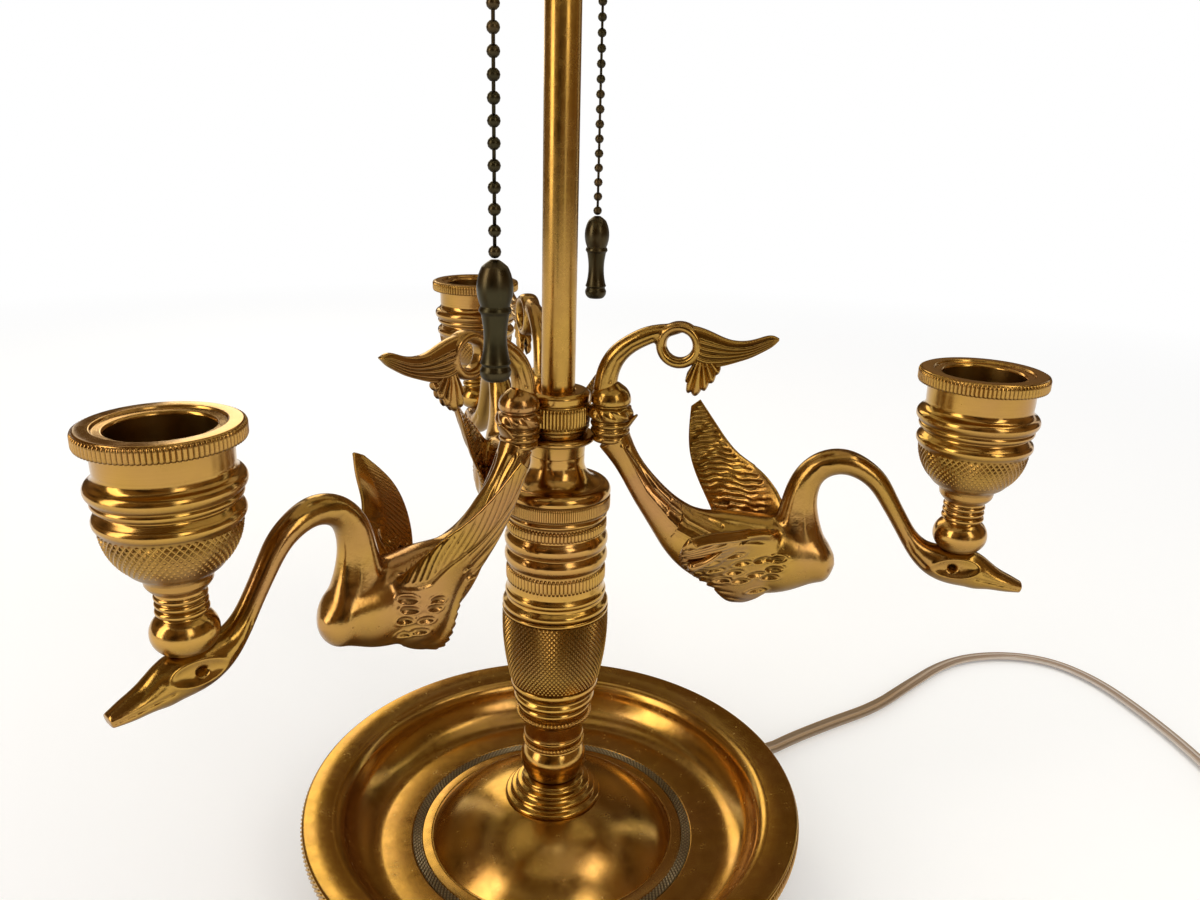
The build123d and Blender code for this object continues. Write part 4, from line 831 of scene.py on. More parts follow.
RELIEF_LEAN, RELIEF_HEIGHT = 32.0, 6.5            # way out of the foot in degrees, height of its axis
LEAD_TAIL = [(0.3472, 0.031, 0.0023), (0.3472, 0.043, 0.0023), (0.3492, 0.055, 0.00555),
             (0.3492, 0.067, 0.00555)]


def coil_points():
    """Turns of the put-away lead: its angle goes round COIL_TURNS times from the left side to the right,
    three turns in and out in each layer, a lead's width apart, and the layers lie on each other."""
    width = settings().cord.diameter
    t = np.linspace(0, COIL_TURNS, int(COIL_TURNS * 14) + 1)
    a = math.pi + TURN * t
    layer = np.minimum(np.floor(t / LAYER_TURNS), LAYERS - 1)
    inward = np.clip(t - LAYER_TURNS * layer, 0, 2.2) / 1.1
    r = COIL_RADIUS + width * (1 - np.where(layer % 2 == 0, inward, 2 - inward))
    z = width * (0.5 + layer)
    return about(COIL_MIDDLE, r, a, z)


def lead_spline(route):
    """The lead's own line: a NURBS of order three with the route's points as its control points."""
    curve = bpy.data.curves.new("lead_line", "CURVE")
    curve.dimensions = "3D"
    spline = curve.splines.new("NURBS")
    spline.points.add(len(route) - 1)
    spline.points.foreach_set("co", np.hstack([route, np.ones((len(route), 1))]).ravel())
    spline.order_u = 3
    spline.use_endpoint_u = True
    curve.resolution_u = 12
    line = put("lead_line", curve)
    bpy.context.view_layer.update()
    mesh = bpy.data.meshes.new_from_object(line.evaluated_get(bpy.context.evaluated_depsgraph_get()))
    points = read(mesh.vertices, "co", 3)
    bpy.data.objects.remove(line)
    bpy.data.curves.remove(curve)
    bpy.data.meshes.remove(mesh)
    return points


class LAMP_OT_lead(Operator):
    """Twin mains lead, its coil, plug and strain relief."""
    bl_idname = "lamp.lead"
    bl_label = "Mains lead"

    def execute(self, context):
        s = settings().cord
        route = np.concatenate([LEAD_ROUTE, coil_points(), LEAD_TAIL])
        line = lead_spline(route)
        along = travelled(line)
        side, over = beside(line)
        # the flat lead leans where it leaves the foot, and lies flat before its coil
        roll = np.radians(np.interp(along, *zip(*LEAD_ROLL)))[:, None]
        broad, thin = np.cos(roll) * side + np.sin(roll) * over, np.cos(roll) * over - np.sin(roll) * side
        # section of two touching round wires: half width times cos, and a height that dips between them
        t = steps_round(LEAD_SIDES)
        half, deep = s.diameter / 2 * 1.16, 0.36 * s.diameter
        x = half * np.cos(t)
        y = deep * np.sin(t) * (1 - 0.5 * bell(np.cos(t) / 0.25))
        need = half * np.abs(np.sin(roll[:, 0])) + deep * np.abs(np.cos(roll[:, 0])) + 0.0003
        line[:, 2] = np.maximum(line[:, 2], need)
        grid = line[:, None] + broad[:, None] * x[None, :, None] + thin[:, None] * y[None, :, None]
        work = Work()
        work.grid(grid / MM)
        lead = piece("mains_lead", work, clear_lead(), ["cord", "cord_coil", "cord_tail"])
        # the two points that close the ends come after the grid's
        note(lead.data, "across", np.append(np.tile(np.cos(t), len(line)), (0, 0)))
        note(lead.data, "along", np.append(np.repeat(along, LEAD_SIDES), (0, 0)))
        plug, blades = self.plug(), self.blades()
        self.relief()
        return {"FINISHED"}

    def plug(self):
        """Moulded plug: rounded-rectangle sections that widen from the lead to the face, with finger
        grips."""
        rows = np.array([(0, 6.0, 5.2), (1.5, 8.6, 7.2), (6, 11.5, 8.6), (9, 16.4, 9.4), (11, 18.4, 9.9),
                         (12, 17.6, 9.2), (13, 18.6, 10.0), (14, 17.9, 9.3), (15, 19.0, 10.2),
                         (16, 18.3, 9.5), (17, 19.6, 10.4), (19, 20.4, 10.8), (25, 21.0, 11.0),
                         (26, 20.2, 10.2)])
        cx, cz = squarish(steps_round(64), 0.5)
        x, y, z = PLUG_START
        work = Work()
        work.grid(np.stack([x + rows[:, 1:2] / 2 * cx, y + rows[:, :1] + 0 * cx, z + rows[:, 2:] / 2 * cz],
                           -1))
        plastic = plain("lead plastic", (0.34, 0.20, 0.085), (0.42, 0.26, 0.12), roughness=0.34,
                        scale=140.0, coat=0.2)
        return piece("plug_moulding", work, plastic, ["plug"])

    def blades(self):
        """Two flat blades with rounded tips: distances from the plug's face, and half widths there."""
        length = np.array([-0.8, 0.0, 12.0, 14.2, 15.4, 16.0])[:, None]
        width = np.array([6.3, 6.3, 6.3, 6.0, 4.6, 2.6])[:, None] / 2
        cx, cz = squarish(steps_round(40), 0.35)
        x, y, z = PLUG_START
        work = Work()
        for side in (-1, 1):
            work.grid(np.stack([x + side * BLADE_APART / 2 + BLADE_THICK / 2 * cx + 0 * length,
                                y + PLUG_LENGTH + length + 0 * cx, z + width * cz], -1))
        plated = metal("plated blade", (0.62, 0.58, 0.50), (0.66, 0.54, 0.36), (0.2, 0.17, 0.12),
                       roughness=0.25)
        return piece("plug_contacts", work, plated, ["plug_blades"])

    def relief(self):
        """Tapered strain relief with rings cut round it, from the foot to where the lead comes out."""
        inside, brim, out, first_ring, last_ring, pitch = 58.4, 62.4, 81.0, 65, 79, 2.4
        along = np.linspace(brim, out, 60)
        r = np.interp(along, [brim, brim + 1.3, brim + 1.4, out], [5.0, 5.0, 3.95, 2.9])
        ringed = (along > first_ring) & (along < last_ring)
        r = r - 0.35 * ringed * (np.sin((along - first_ring) * TURN / pitch) > 0.3)
        along = np.concatenate([[inside, inside], along, [out]])[:, None]
        r = np.concatenate([[0, 3.9], r, [0]])[:, None]
        t = steps_round(40)
        grid = np.stack([along + 0 * t, r * np.cos(t), RELIEF_HEIGHT + r * np.sin(t)], -1)
        work = Work()
        work.grid(in_arm(grid, RELIEF_LEAN))
        plastic = plain("relief plastic", (0.30, 0.18, 0.08), (0.36, 0.22, 0.10), roughness=0.4,
                        scale=160.0)
        return piece("lead_relief", work, plastic, ["cord_relief"])


# ---------------------------------------------------------------- base
def moulding(name, node, low, *steps, beads=(), bands=(), diamonds=None, **ways):
    """A turned moulding of the column that stands at height low: its outline from the pipe on, rows of beads
    of (radius, height, size, count) and reeded bands of (radius, lower and upper height, count, depth,
    crown), all measured from low, and diamonds along an outline of their own."""
    work = Work()
    work.turned(profile((PIPE_RADIUS, 0), *steps, lift=low, **ways), ring=True)
    for radius, height, size, count in beads:
        work.beads(radius, low + height, size, count)
    for radius, start, end, count, depth, crown in bands:
        work.reeded(radius, low + start, low + end, count, depth, crown=crown)
    if diamonds is not None:
        work.knurled(diamonds, around=72, depth=0.44)
    piece(name, work, brass("turned"), [node])


class LAMP_OT_base(Operator):
    """Spun dish with its rope-reeded rim, engraved band, dome, foot, weight and felt."""
    bl_idname = "lamp.base"
    bl_label = "Base"

    def execute(self, context):
        work = Work()
        rim = profile(
            (PIPE_RADIUS, DOME_TOP), (17.4, DOME_TOP), (32.4, 23.1, 43.6, 13.95), (43.9, 13.5), (44.4, 13.6),
            (47.7, 13.5), (47.9, 13.0), (51.3, 13.0), (51.5, 13.5), (62.0, 13.5), (70.6, 17.2, 74.4, 24.6),
            (75.7, 27.2, 78.6, 28.7), (84.0, 29.8, 88.0, 30.0), (88.7, 29.7), (88.7, 28.9), (88.7, 25.1),
            (87.6, 24.5), (77.9, 26.2), (73.6, 16.1, 62.6, 11.7), (45.6, 11.7), (31.4, 21.3, 17.4, 27.2),
            (PIPE_RADIUS, 27.2), fine=20, soft=0.5)
        work.turned(rim, ring=True, sides=256)
        work.reeded(89.3, 25.0, 29.5, count=260, depth=0.6, lean=2.6, crown=0.30)
        piece("dish", work, brass("spun"), ["base_dish"])
        band = Work()
        band.knurled(profile((51.2, 13.4), (48.0, 13.4)), around=190, rows=4, depth=0.6, bed=0.6)
        grey = metal("engraved band", (0.50, 0.41, 0.25), (0.40, 0.31, 0.17), (0.008, 0.006, 0.005),
                     roughness=0.32, dirt_share=1.2, specks=0.2)
        piece("dish_band", band, grey, [])
        moulding("foot_mouldings", "foot_boss", DOME_TOP, (16.9, 0), (17.2, 0.8, 16.6, 1.6), (15.3, 1.9),
                 (15.0, 2.4), (15.2, 3.2, 14.6, 3.9), (13.4, 4.2), (13.0, 4.8), (13.2, 5.6, 12.6, 6.2),
                 (11.4, 6.5), (10.8, 7.0), (11.0, 7.6, 10.5, 8.3), (9.4, 8.8), (PIPE_RADIUS, 8.8), soft=0.2)
        foot = metal("foot metal", (0.50, 0.32, 0.12), (0.42, 0.24, 0.10), (0.10, 0.06, 0.03), roughness=0.34)
        dress("foot_ring", foot)
        iron = plain("cast iron", (0.06, 0.06, 0.06), (0.10, 0.09, 0.08), roughness=0.6, scale=320.0,
                     metallic=0.6)
        dress("base_weight", iron)
        felt = plain("felt", (0.030, 0.055, 0.036), (0.055, 0.085, 0.058), roughness=0.9, scale=900.0,
                     bump=0.0004, sheen=0.5)
        dress("felt_pad", felt)
        steel = metal("plated steel", (0.52, 0.50, 0.46), (0.50, 0.45, 0.38), (0.16, 0.13, 0.10),
                      roughness=0.28)
        for node in ("base_washer", "base_nut", "threaded_pipe"):
            dress(node, steel)
        return {"FINISHED"}


# ---------------------------------------------------------------- column
BARREL_LOW = 77.3


class LAMP_OT_column(Operator):
    """Turned, reeded and knurled column, its collar, lock ring and stem."""
    bl_idname = "lamp.column"
    bl_label = "Column"

    def execute(self, context):
        moulding("baluster", "lower_baluster", 37.8, (8.6, 0), (9.3, 0.5), (11.7, 6.6, 9.9, 12.4),
                 (9.7, 13.0), (9.7, 15.7), (10.6, 16.6, 10.3, 17.7), (10.2, 18.6), (10.0, 23.0),
                 (10.9, 23.9), (11.8, 24.8), (11.8, 27.6), (12.8, 28.8, 12.8, 30.2), (12.4, 30.8),
                 (14.0, 32.4, 13.4, 34.6), (13.3, 35.2), (15.0, 37.2, 15.0, 39.5), (PIPE_RADIUS, 39.5),
                 beads=((10.05, 14.4, 0.95, 52), (12.15, 26.2, 1.15, 60)), soft=0.2)
        diamonds = profile((15.35, 1.2), (17.0, 9.6, 17.85, 27.2), fine=16, lift=BARREL_LOW)
        moulding("barrel", "knurled_barrel", BARREL_LOW, (14.6, 0), (15.2, 0.6),
                 (16.6, 8.6, 17.5, 24.8), (17.5, 27.2), (18.1, 27.6), (18.1, 28.3), (17.7, 28.7),
                 (PIPE_RADIUS, 28.7), diamonds=diamonds)
        moulding("sleeve", "ribbed_sleeve", 106.0, (17.2, 0), (18.0, 1.3, 17.4, 2.7), (16.5, 3.4),
                 (16.4, 4.4), (17.1, 5.6, 16.6, 7.0), (16.3, 7.9), (16.2, 9.4), (16.1, 15.4),
                 (16.2, 16.2), (17.3, 18.9, 16.4, 21.4), (16.2, 21.9), (16.4, 22.4),
                 (17.3, 24.6, 16.4, 27.2), (16.0, 27.8), (16.0, 32.2), (16.2, 32.9),
                 (16.9, 33.9, 16.6, 34.6), (16.4, 35.0), (PIPE_RADIUS, 35.0),
                 bands=((16.8, 9.9, 15.2, 76, 0.55, 0.12), (16.8, 28.4, 32.0, 84, 0.5, 0.12)), soft=0.2)
        moulding("bell", "bell_cap", 141.0,
                 (17.0, 0), (17.3, 0.5), (17.3, 5.6), (17.8, 6.2), (17.8, 6.8), (17.2, 8.5, 14.6, 9.5),
                 (10.2, 12.5, 8.9, 17.4), (8.9, 19.0), (PIPE_RADIUS, 19.0),
                 bands=((17.75, 0.7, 5.4, 150, 0.28, 0.0),), fine=16, soft=0.1)
        moulding("collar", "arm_collar", 160.0,
                 (8.9, 0), (8.9, 0.3), (9.2, 4.3), (11.6, 4.7), (12.2, 5.3), (12.2, 6.2), (11.6, 6.9),
                 (PIPE_RADIUS, 6.9))
        moulding("lock_nut", "lock_ring", 166.9,
                 (9.6, 0), (9.8, 1.8), (10.4, 2.8), (9.9, 3.3), (9.9, 10.0), (10.4, 10.3), (10.1, 10.8),
                 (PIPE_RADIUS, 10.8), bands=((10.45, 3.2, 10.1, 54, 0.45, 0.0),))
        moulding("stem_washer", "stem_cap", 177.7, (10.1, 0), (10.3, 0.6), (10.3, 2.7), (9.2, 3.7),
                 (5.46, 3.7), (5.46, 1.7), (PIPE_RADIUS, 1.7), soft=0.4)
        work = Work()
        work.turned(profile((4.85, 179.4), (5.4, 179.4), (5.4, 306.4), (4.85, 306.4), soft=0.05), ring=True)
        piece("stem", work, brass("tube"), ["stem_tube"])
        return {"FINISHED"}


# ---------------------------------------------------------------- swan arms
def in_arm(points, azimuth):
    """Arm coordinates (reach, side, height) to the lamp's: reach along the arm's line, side to its left."""
    a = math.radians(azimuth)
    return np.stack([points[..., 0] * math.cos(a) - points[..., 1] * math.sin(a),
                     points[..., 0] * math.sin(a) + points[..., 1] * math.cos(a), points[..., 2]], -1)


def casting(stations, along, around=40, square=1.0):
    """Ovals across a centre line in the arm's upright plane: reach - sin(heading) d, side w, height +
    cos(heading) d, where d and w run round each oval; square below 1 makes it fuller."""
    reach, height, heading, deep, wide = flowing(stations, along).T
    h = np.radians(heading)[:, None]
    c, s = squarish(steps_round(around)[None], square)
    d = np.maximum(deep, 0.3)[:, None] * c
    return np.stack([reach[:, None] - np.sin(h) * d, np.maximum(wide, 0.3)[:, None] * s,
                     height[:, None] + np.cos(h) * d], -1)


BODY = [(18.6, 166.5, -60, 5.4, 5.2), (22.6, 160.2, -57, 4.4, 4.3), (29.2, 150.7, -54, 5.1, 4.5),
        (37.4, 141.6, -46, 7.2, 5.4), (45.5, 135.4, -28, 10.6, 7.2), (56.0, 132.2, -6, 13.0, 9.4),
        (67.0, 131.8, 2, 13.2, 10.4), (77.0, 132.8, 8, 11.6, 9.8), (84.8, 133.2, 8, 8.8, 7.6),
        (89.6, 132.6, 8, 4.8, 4.4), (91.0, 132.4, 8, 1.6, 1.6)]
NECK = [(79.6, 134.0, 92, 9.8, 7.6), (78.6, 141.5, 90, 8.0, 6.6), (78.4, 149.5, 86, 5.9, 5.4),
        (79.4, 156.6, 74, 4.9, 4.9), (81.6, 161.0, 54, 4.4, 4.6), (85.4, 164.1, 24, 4.2, 4.4),
        (91.2, 165.2, -4, 3.9, 4.2), (96.4, 163.5, -30, 3.5, 3.9), (101.2, 159.9, -48, 3.2, 3.6),
        (105.4, 154.0, -58, 2.85, 3.3), (109.3, 147.8, -57, 2.7, 3.2), (112.9, 142.4, -54, 2.9, 3.5),
        (116.8, 138.4, -38, 3.9, 4.2), (121.0, 136.0, -20, 5.2, 4.9), (126.7, 134.6, -6, 5.9, 5.4),
        (131.8, 134.1, -5, 6.0, 5.0), (135.0, 133.0, -11, 5.3, 4.6), (138.6, 131.8, -16, 3.8, 4.2),
        (142.8, 130.7, -14, 2.8, 3.7), (147.4, 129.7, -12, 1.6, 2.6)]
CURL = [(15.2, 182.0, 84, 3.8, 4.0), (16.2, 188.6, 74, 3.5, 3.8), (19.0, 194.0, 52, 3.2, 3.5),
        (23.4, 197.9, 36, 2.9, 3.2), (28.4, 200.6, 22, 2.8, 2.9), (33.6, 202.3, 4, 2.2, 2.7),
        (38.5, 203.4, -8, 1.5, 2.6)]
LEAF_TOP = [(38.1, 204.7), (43.1, 204.3), (48.0, 202.8), (54.0, 200.8), (57.8, 200.8), (61.6, 201.8),
            (66.4, 202.9), (68.0, 202.2)]
LEAF_LOW = [(42.4, 193.0), (46.0, 192.0), (50.7, 192.4), (56.4, 194.3), (60.0, 195.8), (63.5, 197.8),
            (66.6, 200.0), (68.0, 201.6)]
FAN_EDGE = [(51.4, 192.4), (49.6, 188.4), (47.4, 185.6), (44.9, 183.4), (42.0, 183.0), (40.7, 185.6),
            (40.6, 189.4)]
RING_CENTRE, RING_HOLE, RING_OUT, RING_HALF = (38.1, 198.3), 4.0, 7.3, 3.1
WRIST_REACH, WRIST_BALL = 17.3, 175.2            # the wrist's axis, and the height of its ball's middle


def slab(near, far):
    """Rows that run over a near face and back over the far one."""
    return np.concatenate([near, far[:, ::-1]], 1)


def leaf(rows=90, cols=72):
    """Leaf of the scroll: between an upper and a lower edge, hugging the ring at its root. Its upper third
    is smooth, and below it |sin| flutes run to the tip on both faces; thickness falls from root to tip and
    to both edges."""
    top, low = flowing(LEAF_TOP, rows), flowing(LEAF_LOW, rows)
    s = np.linspace(0, 1, rows)[:, None]
    w = np.linspace(0, 1, cols)[None]
    reach = top[:, :1] * (1 - w) + low[:, :1] * w + 3.6 * (1 - s)**6 * 4 * w * (1 - w)
    height = top[:, 1:] * (1 - w) + low[:, 1:] * w
    lane = held((w - 0.26 - 0.12 * s) / (0.74 - 0.12 * s))
    flute = 0.75 * (np.abs(np.sin(np.pi * 4.5 * lane)) - 0.6) * (lane > 0) * held(1.25 - s)
    half = (2.7 * (1 - s) + 1.0 * s) * (held(4 * w * (1 - w))**0.35 * 0.8 + 0.2)
    half = np.maximum(half + flute * held(9 * (1 - s)), 0.25)
    return slab(np.stack([reach, half, height], -1), np.stack([reach, -half, height], -1))


def fan(rows=30, cols=121):
    """Palmette: a plate spread from a root to a scalloped edge, with deep |sin| flutes that run out from the
    root."""
    root = np.array((45.2, 197.4))
    edge = flowing(FAN_EDGE, cols)
    w = np.linspace(0, 1, cols)[None]
    s = np.linspace(0.18, 1, rows)[:, None]
    lobes = np.abs(np.sin(np.pi * 6 * w))
    grown = 1 + 0.08 * (lobes - 0.75) * s
    reach = root[0] + (edge[:, 0] - root[0]) * s * grown
    height = root[1] + (edge[:, 1] - root[1]) * s * grown
    end = held((1 - s) / 0.10)**0.5 * 0.6 + 0.4
    half = (1.8 + 1.0 * (lobes - 0.65) * held(3 * s - 0.5)) * end
    half = half * held(8 * np.minimum(w, 1 - w) + 0.35)
    return slab(np.stack([reach, half, height], -1), np.stack([reach, -half, height], -1))


def pierced_ring():
    """Ring round the scroll's hole: a squarish section carried round a circle in the arm's plane."""
    a = steps_round(72)[None]
    c, s = squarish(steps_round(24)[:, None], 0.85)
    r = (RING_HOLE + RING_OUT) / 2 + (RING_OUT - RING_HOLE) / 2 * c
    return np.stack([RING_CENTRE[0] + r * np.cos(a), RING_HALF * s + 0 * a, RING_CENTRE[1] + r * np.sin(a)],
                    -1)


def knuckle():
    """Turned wrist: rings, then a ball of leaf-like lobes whose radius swells eight times round, a brim and
    a dome; one pointed leaf flares out beside it."""
    outline = profile((0.0, 165.6), (4.8, 165.8), (6.0, 166.8, 5.6, 167.9), (5.3, 168.3),
                      (6.3, 169.3, 5.8, 170.3), (5.5, 170.8), (6.4, 171.7, 6.0, 172.5), (5.8, 172.8),
                      (6.9, 173.6), (7.2, 175.3, 6.6, 177.0), (5.6, 177.6), (5.6, 178.0), (6.3, 178.5),
                      (6.0, 181.2, 4.2, 183.6), (2.6, 184.8), (0.0, 185.0), soft=0.18, fine=14)
    a = steps_round(144)
    r, z = outline[:, :1], outline[:, 1:]
    over = z - WRIST_BALL
    lobe = np.exp(-(over / 1.9)**4)
    r = r + np.where(r > 0.1, 1, 0) * lobe * 0.7 * (np.abs(np.cos(4 * a + 0.5 * over)) - 0.75)
    turned = about((WRIST_REACH, 0), r, a, z)
    # the pointed leaf: ovals from the rings outwards and up to a tip
    tip = casting([(20.6, 168.6, 66, 1.5, 3.0), (22.2, 170.8, 58, 1.3, 3.0), (24.0, 173.0, 48, 0.9, 2.2),
                   (25.8, 174.8, 44, 0.35, 0.8)], 24, 24)
    return turned, tip


class Wing(NamedTuple):
    """A wing: which side of the arm it is on, its two edges, the reliefs of its two faces, its eye-shaped
    hollows and the teeth of its trailing edge."""
    side: int
    leading: list
    trailing: list
    outside: Callable
    inside: Callable
    eyes: tuple
    teeth: tuple


def blade(wing, rows, cols, last=1.0):
    """Middle surface of a wing, row by row from its root and column by column from its leading edge, bowed
    outwards by 0.12 of half its width; with it the shares u and v, the way out, the rise 4 v (1 - v) of its
    middle, and its width."""
    side = wing.side
    lead, trail = flowing(wing.leading, 200, by=3), flowing(wing.trailing, 200, by=3)
    share = np.linspace(0, last, rows) * 199
    lead, trail = (np.stack([np.interp(share, np.arange(200), e[:, k]) for k in range(3)], 1)
                   for e in (lead, trail))
    lead[:, 1] *= side
    trail[:, 1] *= side
    u, v = np.linspace(0, last, rows)[:, None], np.linspace(0, 1, cols)[None]
    chord = trail - lead
    width = np.linalg.norm(chord, axis=1)[:, None]
    out = normed(np.cross(chord, np.gradient(lead + trail, axis=0)))
    out = out * np.where(out[:, 1:2] * side < 0, -1, 1)
    belly = 4 * v * (1 - v)
    middle = lead[:, None] + chord[:, None] * v[..., None] + out[:, None] * (0.06 * width * belly)[..., None]
    return middle, u, v, out, belly, width


def almonds(points, spots, long, short, lean, deep, rim=0.38):
    """Eye-shaped hollows, seen from the side: -deep exp(-(1.2 d)^2) + rim exp(-((d - 1.1) / 0.25)^2) round
    each spot of (reach, height), with d the distance in half lengths along and across a leaning axis."""
    a, total = math.radians(lean), 0.0
    for x, z in spots:
        dx, dz = points[..., 0] - x, points[..., 2] - z
        d = np.hypot((dx * math.cos(a) + dz * math.sin(a)) / long,
                     (dz * math.cos(a) - dx * math.sin(a)) / short)
        total = total - deep * bell(1.2 * d) + rim * bell((d - 1.1) / 0.25)
    return total


def strokes(phase, sharp=0.17):
    """Cut lines, one per unit of phase: -exp(-((fraction - 0.5) / sharp)^2)."""
    return -bell((phase % 1.0 - 0.5) / sharp)


# each set: its shift along the reach, its hollows' half length, half height, lean and depth, and their (u, v)
HIGH_EYES = (5.0, (2.35, 1.25, 8.0, 0.95), [
    (0.027, 0.566), (0.107, 0.614), (0.081, 0.41), (0.161, 0.554), (0.128, 0.349), (0.215, 0.554),
    (0.148, 0.265), (0.248, 0.53)])
LOW_EYES = (3.4, (3.0, 1.15, 4.0, 1.15), [
    (0.423, 0.398), (0.315, 0.482), (0.322, 0.627), (0.456, 0.723), (0.597, 0.663), (0.242, 0.687),
    (0.081, 0.253), (0.054, 0.349), (0.040, 0.458), (0.336, 0.795), (0.054, 0.699), (0.20, 0.36),
    (0.17, 0.53)])
ROOT_END = 0.42                                  # share u at which a wing's thick root has run out


def hollows(points, wing):
    """A wing's eye-shaped hollows at these points. Their shift along the reach falls to 0 as the thick root
    does."""
    shift, size, shares = wing.eyes
    middle = blade(wing, 101, 101)[0]
    spots = []
    for u, v in shares:
        reach, _, height = middle[round(100 * u), round(100 * v)]
        spots.append((reach + shift * max(0, 1 - u / ROOT_END), height))
    return almonds(points, spots, *size)


def saw(u, v, teeth):
    """Saw wave along a wing's trailing edge, from none at v = 0.84 to its size at v = 1; teeth is (count,
    from, to, size)."""
    count, start, end, size = teeth
    inside = (u > start) * (u < end)
    tooth = ((u - start) / (end - start) * count) % 1.0 * inside
    return size * (tooth - 0.5 * inside) * held((v - 0.84) / 0.16)


def toothed(middle, u, v, width, teeth):
    """A wing's middle with a saw wave along its trailing edge."""
    chord = (middle[:, -1] - middle[:, 0])[:, None] / width[..., None]
    return middle + chord * saw(u, v, teeth)[..., None]


def plate(u, belly):
    """Half thickness of a wing."""
    return 1.10 * (1 - 0.45 * u) * belly**0.5 + 0.32


def scaled(u, v, middle, across, run):
    """Outside of a high wing: barbs above a slanting line near its root, a valley before the trailing edge,
    and long feathers to the tip."""
    line = 0.07 + 1.6 * np.clip(u - 0.12, 0, 0.13) + 0.62 * held(u - 0.25)
    above = held((line - v) * 14) * held((u - 0.10) * 14)
    barbs = 0.40 * strokes((across + 0.45 * run) / 1.9)
    long_lines = 0.34 * strokes((across + 0.10 * run) / 2.2) * held((u - 0.42) * 6) * (1 - above)
    valley = -0.75 * bell((v - 0.79) / 0.085) * held((u - 0.03) * 12) * held((0.8 - u) * 3)
    shaft = -0.5 * bell((v - line) / 0.022) * held((u - 0.12) * 12)
    return barbs * above + long_lines + valley + shaft


def petalled(u, v, middle, across, run):
    """Outside of a low wing: a rib along the leading edge and feathers beside it toward the tip."""
    rib = 1.5 * bell((across - 1.6) / 1.3) * held((u - 0.12) * 8)
    rib = rib - 0.7 * bell((across - 4.2) / 0.8) * held((u - 0.20) * 8)
    lines = 0.42 * strokes((across - 0.30 * run) / 1.75) * held((u - 0.50) * 6) * held(across - 2.6)
    rest = 0.35 * strokes((across - 0.55 * run) / 3.3) * held((v - 0.80) * 9)
    return rib + lines + rest


def barbed(u, v, middle, across, run):
    """Inside of a spread wing: smooth in front, fine slanting barbs behind, and one hollow where they
    start."""
    barbs = 0.34 * strokes(u * 30 + 5.0 * v, 0.2) * held((v - 0.40) * 8)
    eye = np.hypot((u - 0.43) / 0.045, (v - 0.44) / 0.12)
    return barbs - 0.8 * bell(eye) + 0.2 * bell((eye - 1.3) / 0.3)


def rippled(u, v, middle, across, run):
    """Inside of a high wing: wavering level cuts about 2.4 mm apart, closer toward the tip, broken here and
    there."""
    height = middle[..., 2]
    wave = 0.22 * np.sin(TURN * across / 15.0 + 0.2 * run) + 0.10 * np.sin(TURN * across / 5.3 + run / 2.3)
    broken = np.clip(0.75 + 0.6 * np.sin(TURN * (across / 6.7 + height / 5.3)), 0.15, 1)
    cuts = strokes((height - 120) * (1 + 0.30 * u) / 2.4 + wave, 0.22)
    return 0.62 * cuts * broken * held((v - 0.06) / 0.08)


def outer_wing(wing, rows=172, cols=80, first=0.45):
    """Outer part of a wing, with its reliefs on both faces, from inside its thick root to its tip."""
    middle, u, v, out, belly, width = blade(wing, rows, cols)
    across, run = v * width, travelled(middle[:, cols // 2])[:, None]
    middle = toothed(middle, u, v, width, wing.teeth)
    fade = held(belly * 3.0) * held((1 - u) * 25)
    outer = wing.outside(u, v, middle, across, run) + hollows(middle, wing)
    inner = wing.inside(u, v, middle, across, run)
    near = middle + out[:, None] * (plate(u, belly) + outer * fade)[..., None]
    far = middle - out[:, None] * (plate(u, belly) + inner * fade)[..., None]
    return slab(near, far)[int(first * rows):]


def wing_root(wing):
    """Thick root of a wing inside the casting: it stands over the blade by (1 - u / ROOT_END)^2, then by a
    little."""
    middle, u, v, out, belly, width = blade(wing, 120, 40, last=0.5)
    middle = toothed(middle, u, v, width, wing.teeth)
    over = 0.20 * held((0.5 - u) / 0.06)
    swell = held(1 - u / ROOT_END)**2 * belly**0.5
    near = middle + out[:, None] * (plate(u, belly) + over + 4.6 * swell)[..., None]
    far = middle - out[:, None] * (plate(u, belly) + over + 2.0 * swell)[..., None]
    return slab(near, far)


def on_blade(points, wing, rows=61, cols=41):
    """For points near a wing: shares (u, v), distances across and along it, the way out and the way from the
    leading to the trailing edge. Each starts from the nearest of the wing's samples and steps along its two
    directions."""
    middle, u, v, out, _, width = blade(wing, rows, cols)
    along, over = np.gradient(middle, axis=0) * (rows - 1), np.gradient(middle, axis=1) * (cols - 1)
    samples = middle.reshape(-1, 3)
    nearest = np.concatenate([((part[:, None] - samples[None])**2).sum(-1).argmin(1)
                              for part in np.array_split(points, max(1, len(points) // 1500))])
    row, col = np.divmod(nearest, cols)
    d, e, f = points - samples[nearest], along[row, col], over[row, col]
    ee, ef, ff = (np.einsum("ij,ij->i", *pair) for pair in ((e, e), (e, f), (f, f)))
    de, df = np.einsum("ij,ij->i", d, e), np.einsum("ij,ij->i", d, f)
    share_u = u[row, 0] + (de * ff - df * ef) / (ee * ff - ef**2)
    share_v = v[0, col] + (df * ee - de * ef) / (ee * ff - ef**2)
    run = np.interp(share_u, u[:, 0], travelled(middle[:, cols // 2]))
    across = share_v * np.interp(share_u, u[:, 0], width[:, 0])
    return share_u, share_v, across, run, out[row], normed(f)


